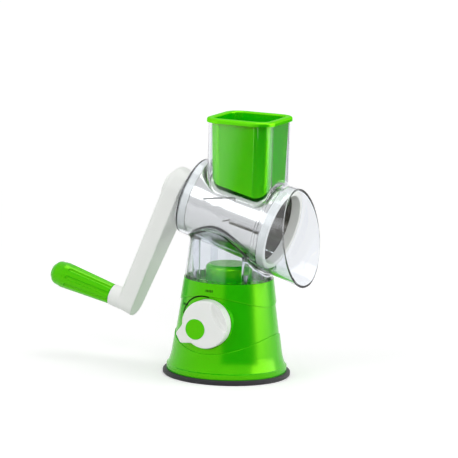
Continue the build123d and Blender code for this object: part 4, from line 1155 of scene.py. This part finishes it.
@dataclass
class Studio:
    """Pale floor, white surround, soft boxes, flags and the camera of the photograph.

    Lengths are in metres, the lens and the sensor in millimetres, and angles in degrees.
    """

    aim: Point = (-1.51 * MM, 0.0, 149.05 * MM)
    azimuth: float = 23.78
    elevation: float = 9.83
    roll: float = 1.63
    distance: float = 4.0
    lens: float = 309.9
    sensor: float = 36.0
    floor_half: float = 9.0
    floor_colour: Colour = (0.82, 0.82, 0.82)
    floor_roughness: float = 0.9
    near_glow: float = 0.3
    far_glow: float = 0.69
    floor_near: float = 0.0
    floor_far: float = 2.6
    fill: float = 0.38
    lamps: tuple[SoftBox, ...] = (
        SoftBox(
            name="key_box",
            place=(-0.9, -1.4, 1.2),
            width=1.2,
            height=1.0,
            power=10.6,
            mirrored=False,
        ),
        SoftBox(
            name="front_box",
            place=(1.0, -1.8, 1.3),
            width=1.0,
            height=0.8,
            power=11.4,
            mirrored=False,
        ),
        SoftBox(name="right_box", place=(1.6, 0.5, 0.55), width=1.9, height=1.0, power=13.0),
        SoftBox(name="top_box", place=(0.1, 0.2, 1.7), width=1.2, height=1.2, power=8.0),
    )
    flags: tuple[Flag, ...] = (
        Flag(
            name="floor_flag",
            near=0.75,
            far=2.2,
            foot=2.0 * MM,
            top=2.0 * MM,
            start=-23.6,
            end=95.0,
            soft=1.6,
        ),
        Flag(
            name="side_flag",
            near=1.7,
            far=1.7,
            foot=0.0,
            top=0.38,
            start=6.0,
            end=90.0,
            soft=14.0,
        ),
        Flag(
            name="back_flag",
            near=0.95,
            far=2.2,
            foot=2.0 * MM,
            top=2.0 * MM,
            start=140.0,
            end=172.0,
            soft=6.0,
            dark=0.22,
        ),
    )

    def build(self) -> None:
        """Sets floor, surround, lamps, flags and camera."""
        bpy.context.scene.view_settings.view_transform = "Standard"
        self.lay_floor()
        self.set_surround()
        for lamp in self.lamps:
            self.hang_lamp(lamp)
        for flag in self.flags:
            self.stand_flag(flag)
        self.set_camera()

    @staticmethod
    def looked_at(sheet: NodeSheet) -> bpy.types.NodeSocket:
        """Tells rays that look at a surface from rays that light one.

        Args:
            sheet: Sheet to place the nodes in.

        Returns:
            Socket with 1 for looks, mirrored and seen through too, and 0 for light.
        """
        path = sheet.add("ShaderNodeLightPath")
        seen = sheet.math("MAXIMUM", path.outputs["Is Camera Ray"], path.outputs["Is Glossy Ray"])
        seen = sheet.math("MAXIMUM", seen, path.outputs["Is Transmission Ray"])
        direct = sheet.math("LESS_THAN", path.outputs["Diffuse Depth"], DEPTH_SPLIT)
        return sheet.math("MULTIPLY", seen, direct)

    def lay_floor(self) -> None:
        """Lays the pale floor, which glows more the further it is."""
        half = self.floor_half
        mesh = bpy.data.meshes.new("floor")
        corners = [(-half, -half, 0.0), (half, -half, 0.0), (half, half, 0.0), (-half, half, 0.0)]
        mesh.from_pydata(corners, [], [(0, 1, 2, 3)])
        paint = Paint("pale_floor")
        paint.set(
            Base_Color=opaque(self.floor_colour),
            Roughness=self.floor_roughness,
            Specular_IOR_Level=0.0,
            Emission_Color=opaque(PLAIN_WHITE),
        )
        sheet = paint.sheet
        seen = self.looked_at(sheet)
        reach = sheet.add("ShaderNodeVectorMath", operation="LENGTH")
        sheet.link(sheet.add("ShaderNodeTexCoord").outputs["Object"], reach.inputs[0])
        rise = sheet.fade(
            reach.outputs["Value"],
            (self.floor_near, self.floor_far),
            (self.near_glow, self.far_glow),
        )
        glow = sheet.math("MULTIPLY", seen, rise)
        sheet.link(glow, paint.shader.inputs["Emission Strength"])
        mesh.materials.append(paint.close())
        floor = put("floor", mesh)

    def set_surround(self) -> None:
        """Sets a surround that looks white and lights the part softly."""
        world = bpy.data.worlds.new("white_surround")
        world.use_nodes = True
        sheet = NodeSheet(world.node_tree)
        world.node_tree.nodes.clear()
        seen = self.looked_at(sheet)
        level = sheet.math("ADD", sheet.math("MULTIPLY", seen, 1.0 - self.fill), self.fill)
        glow = sheet.add("ShaderNodeBackground")
        glow.inputs["Color"].default_value = opaque(PLAIN_WHITE)
        sheet.link(level, glow.inputs["Strength"])
        output = sheet.add("ShaderNodeOutputWorld")
        sheet.link(glow.outputs[0], output.inputs["Surface"])
        bpy.context.scene.world = world

    def hang_lamp(self, lamp: SoftBox) -> None:
        """Hangs one soft box and turns it to the part.

        Args:
            lamp: The soft box.
        """
        light = bpy.data.lights.new(lamp.name, "AREA")
        light.shape = "RECTANGLE"
        light.size = lamp.width
        light.size_y = lamp.height
        light.energy = lamp.power
        holder = put(lamp.name, light)
        holder.location = lamp.place
        way = Vector(self.aim) - Vector(lamp.place)
        holder.rotation_euler = way.to_track_quat("-Z", "Y").to_euler()
        holder.visible_camera = False
        holder.visible_glossy = lamp.mirrored

    @staticmethod
    def stand_flag(flag: Flag) -> None:
        """Stands one flag so that only reflections show it.

        Args:
            flag: The flag.
        """
        card = put(flag.name, flag.mesh())
        card.visible_camera = False
        card.visible_diffuse = False
        card.visible_volume_scatter = False
        card.visible_shadow = False

    def set_camera(self) -> None:
        """Stands the camera where the photograph was taken from."""
        turn, rise, lean = (math.radians(a) for a in (self.azimuth, self.elevation, self.roll))
        flat = math.cos(rise)
        back = Vector((math.sin(turn) * flat, -math.cos(turn) * flat, math.sin(rise)))
        level = Vector((math.cos(turn), math.sin(turn), 0.0))
        upright = level.cross(-back)
        right = level * math.cos(lean) + upright * math.sin(lean)
        up = upright * math.cos(lean) - level * math.sin(lean)
        view = Matrix((right, up, back)).transposed().to_4x4()
        view.translation = Vector(self.aim) + back * self.distance
        lens = bpy.data.cameras.new("camera")
        lens.lens = self.lens
        lens.sensor_width = self.sensor
        camera = put("camera", lens)
        camera.matrix_world = view
        bpy.context.scene.camera = camera


def main() -> None:
    """Dresses every sub-assembly, then sets the studio round the part."""
    logging.basicConfig(level=logging.INFO, format="%(name)s: %(message)s")
    wardrobe = Wardrobe()
    for assembly in (Base(), LockKnob(), Housing(), Drum(), Crank(), Pusher()):
        LOG.info("building %s", type(assembly).__name__)
        assembly.build(wardrobe)
    Studio().build()


if __name__ == "__main__":
    main()
